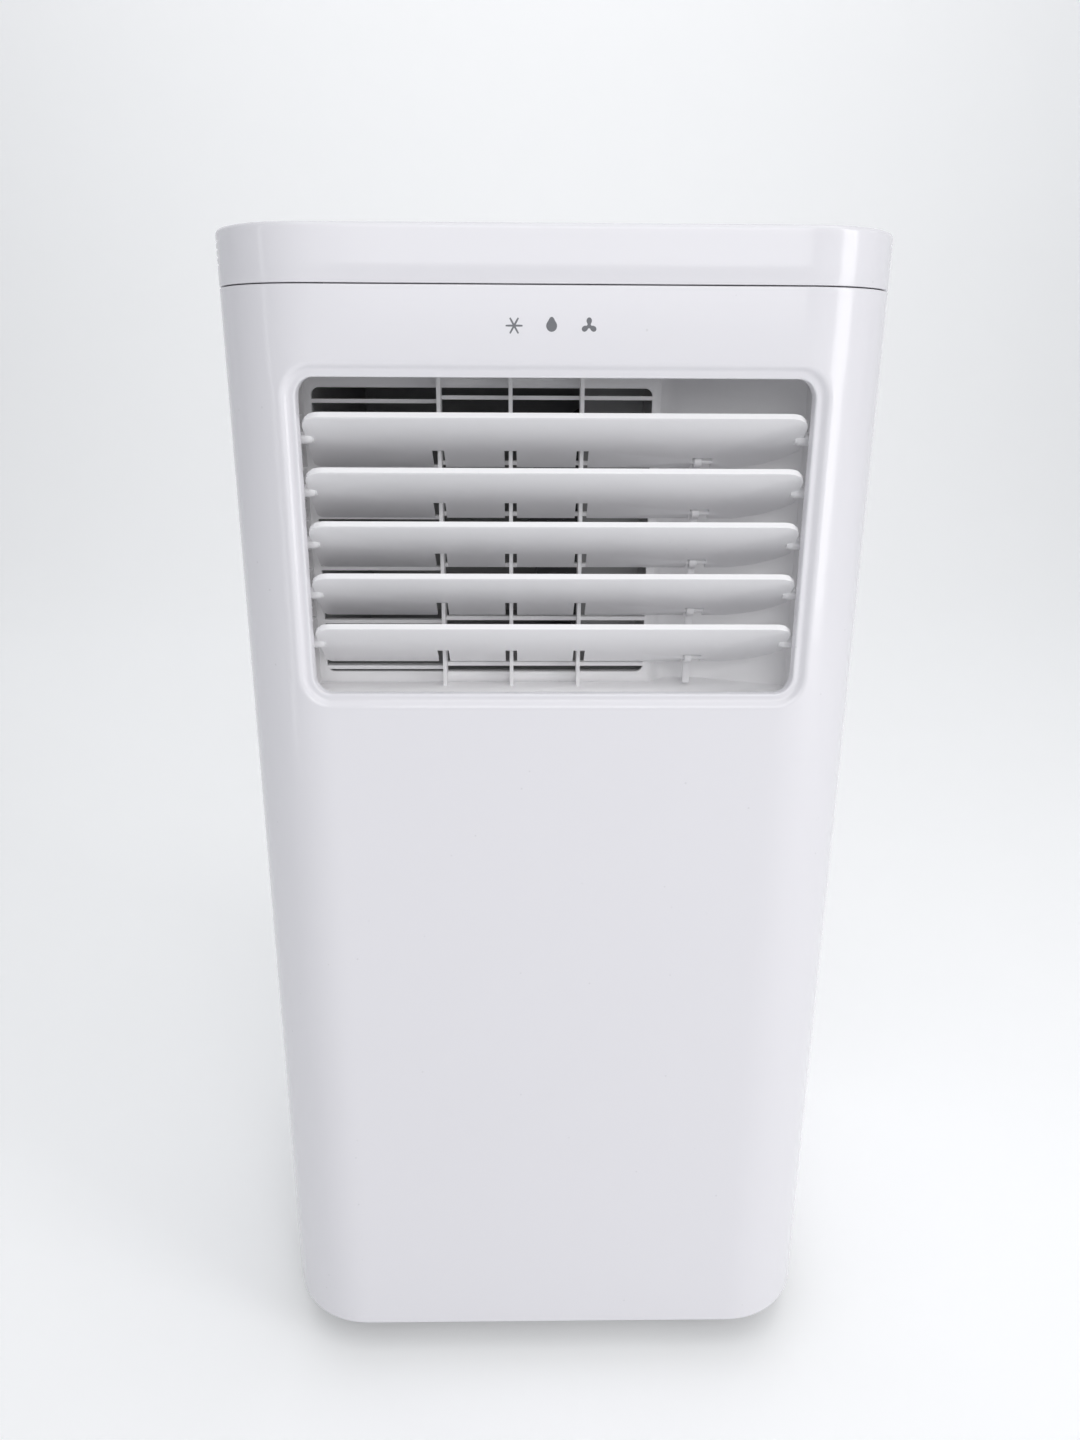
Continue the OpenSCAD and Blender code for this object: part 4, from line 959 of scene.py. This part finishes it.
# Edge radius, in millimetres, of the nodes whose edges show
EDGES = {"outlet_grille": 0.35, "outlet_liner": 0.4, "tie_bar": 0.4,
         "exhaust_collar": 0.6, "grip_left": 0.4, "grip_right": 0.4}
EDGES.update({name: 0.5 for name in nodes if name.startswith("caster_")})
for name, node in nodes.items():
    if node.hide_render:
        continue
    # The recess has a lighter finish than its slot, because it renders dark: painted light in place
    # of the light its shade takes away
    recess = name in ("outlet_liner", "outlet_grille")
    paint(node, "recess_painted_light" if recess else node.data.materials[0].name.split(".")[0])
    if name in EDGES:
        weld = node.modifiers.new("weld", "WELD")
        weld.merge_threshold = WELD_GAP
        bevel(node, EDGES[name] * MM, 2).use_clamp_overlap = True
    smooth(node)

# ---- Floor, light and camera ----

FLOOR_GLOW = 0.15
SKY_LIGHT, SKY_SEEN = 0.30, 0.72


def cove():
    """Pale floor that curves up into a wall behind the object."""
    rise, back, wide, high, steps = 1.2, 3.0, 8.0, 5.0, 24
    line = [(-4.0, 0.0), (-0.5, 0.0), (0.5, 0.0), (back - rise, 0.0)]
    line += [(back - rise + rise * math.sin(a), rise - rise * math.cos(a))
             for a in (i * math.pi / 2 / steps for i in range(1, steps + 1))]
    line.append((back, high))
    verts, faces = [], []
    for y, z in line:
        verts += [(-wide, y, z), (wide, y, z)]
    for i in range(len(line) - 1):
        faces.append([2 * i, 2 * i + 1, 2 * i + 3, 2 * i + 2])
    obj = new_object("floor", verts, faces)
    obj.data.shade_smooth()
    pale = finish("floor_pale", (0.90, 0.905, 0.91), 0.7, mottle=0.004, bump=0.02)
    shader = pale.node_tree.nodes["Principled BSDF"]
    shader.inputs["Emission Color"].default_value = (0.97, 0.985, 1, 1)
    shader.inputs["Emission Strength"].default_value = FLOOR_GLOW
    obj.data.materials.append(pale)
    obj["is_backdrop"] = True


cove()
world = bpy.data.worlds.new("studio")
bpy.context.scene.world = world
world.use_nodes = True
world_nodes, world_links = world.node_tree.nodes, world.node_tree.links
sky = world_nodes["Background"]
sky.inputs["Color"].default_value = (0.93, 0.95, 1.0, 1)
sky.inputs["Strength"].default_value = SKY_LIGHT
# The sky is paler where the camera sees it than it is as a light
pale_sky = world_nodes.new("ShaderNodeBackground")
pale_sky.inputs["Color"].default_value = (0.86, 0.88, 0.90, 1)
pale_sky.inputs["Strength"].default_value = SKY_SEEN
path = world_nodes.new("ShaderNodeLightPath")
seen = world_nodes.new("ShaderNodeMixShader")
world_links.new(path.outputs["Is Camera Ray"], seen.inputs["Fac"])
world_links.new(sky.outputs["Background"], seen.inputs[1])
world_links.new(pale_sky.outputs["Background"], seen.inputs[2])
world_links.new(seen.outputs["Shader"], world_nodes["World Output"].inputs["Surface"])


def softbox(name, at, towards, width, height, power, colour=(1, 1, 1)):
    """Rectangular area light at a place, turned to a target; the camera doesn't see it."""
    light = bpy.data.lights.new(name, "AREA")
    light.shape = "RECTANGLE"
    light.size, light.size_y = width, height
    light.energy = power
    light.color = colour
    obj = bpy.data.objects.new(name, light)
    obj.location = at
    obj.rotation_euler = (Vector(towards) - Vector(at)).to_track_quat("-Z", "Y").to_euler()
    obj.visible_camera = False
    bpy.context.scene.collection.objects.link(obj)


softbox("overhead", (0.3, -0.6, 2.6), (0, 0, 0.3), 2.4, 1.8, 18)
softbox("key", (0.15, -1.7, 1.75), (0, -0.15, 0.5), 1.1, 0.8, 7.0)
softbox("right_window", (1.9, -1.2, 0.9), (0, -0.1, 0.45), 0.7, 1.9, 14, (1.0, 0.985, 0.98))
softbox("front_fill", (0.1, -1.75, 1.1), (0, 0, 0.5), 1.0, 0.8, 4.6)
softbox("left_strip", (-1.15, -0.75, 0.55), (-0.1, -0.1, 0.4), 0.06, 1.5, 0.5)
softbox("wall_wash", (0, 1.2, 3.2), (0, 3.0, 1.6), 3.5, 0.8, 27)

# The photograph's view, from a camera fitted to it
CAMERA_AT = Vector((-16.22, -683.98, 619.70)) * MM
CAMERA_LENS = 26.14
CAMERA_YAW, CAMERA_PITCH, CAMERA_ROLL = (math.radians(a) for a in (0.970, 18.438, 0.297))
camera_data = bpy.data.cameras.new("camera")
camera_data.lens = CAMERA_LENS
camera_data.sensor_width = 36
camera_data.clip_start = 0.01
camera = bpy.data.objects.new("camera", camera_data)
bpy.context.scene.collection.objects.link(camera)
bpy.context.scene.camera = camera
forward = Vector((math.sin(CAMERA_YAW) * math.cos(CAMERA_PITCH),
                  math.cos(CAMERA_YAW) * math.cos(CAMERA_PITCH), -math.sin(CAMERA_PITCH)))
side = forward.cross(Vector((0, 0, 1))).normalized()
up = side.cross(forward)
right = side * math.cos(CAMERA_ROLL) + up * math.sin(CAMERA_ROLL)
upward = up * math.cos(CAMERA_ROLL) - side * math.sin(CAMERA_ROLL)
turn = Matrix((right, upward, -forward)).transposed().to_4x4()
camera.matrix_world = Matrix.Translation(CAMERA_AT) @ turn

bpy.context.scene.view_settings.view_transform = "Standard"
bpy.context.view_layer.update()
low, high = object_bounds()
{"cad": [list(cad_low), list(cad_high)], "visual": [list(low), list(high)]}
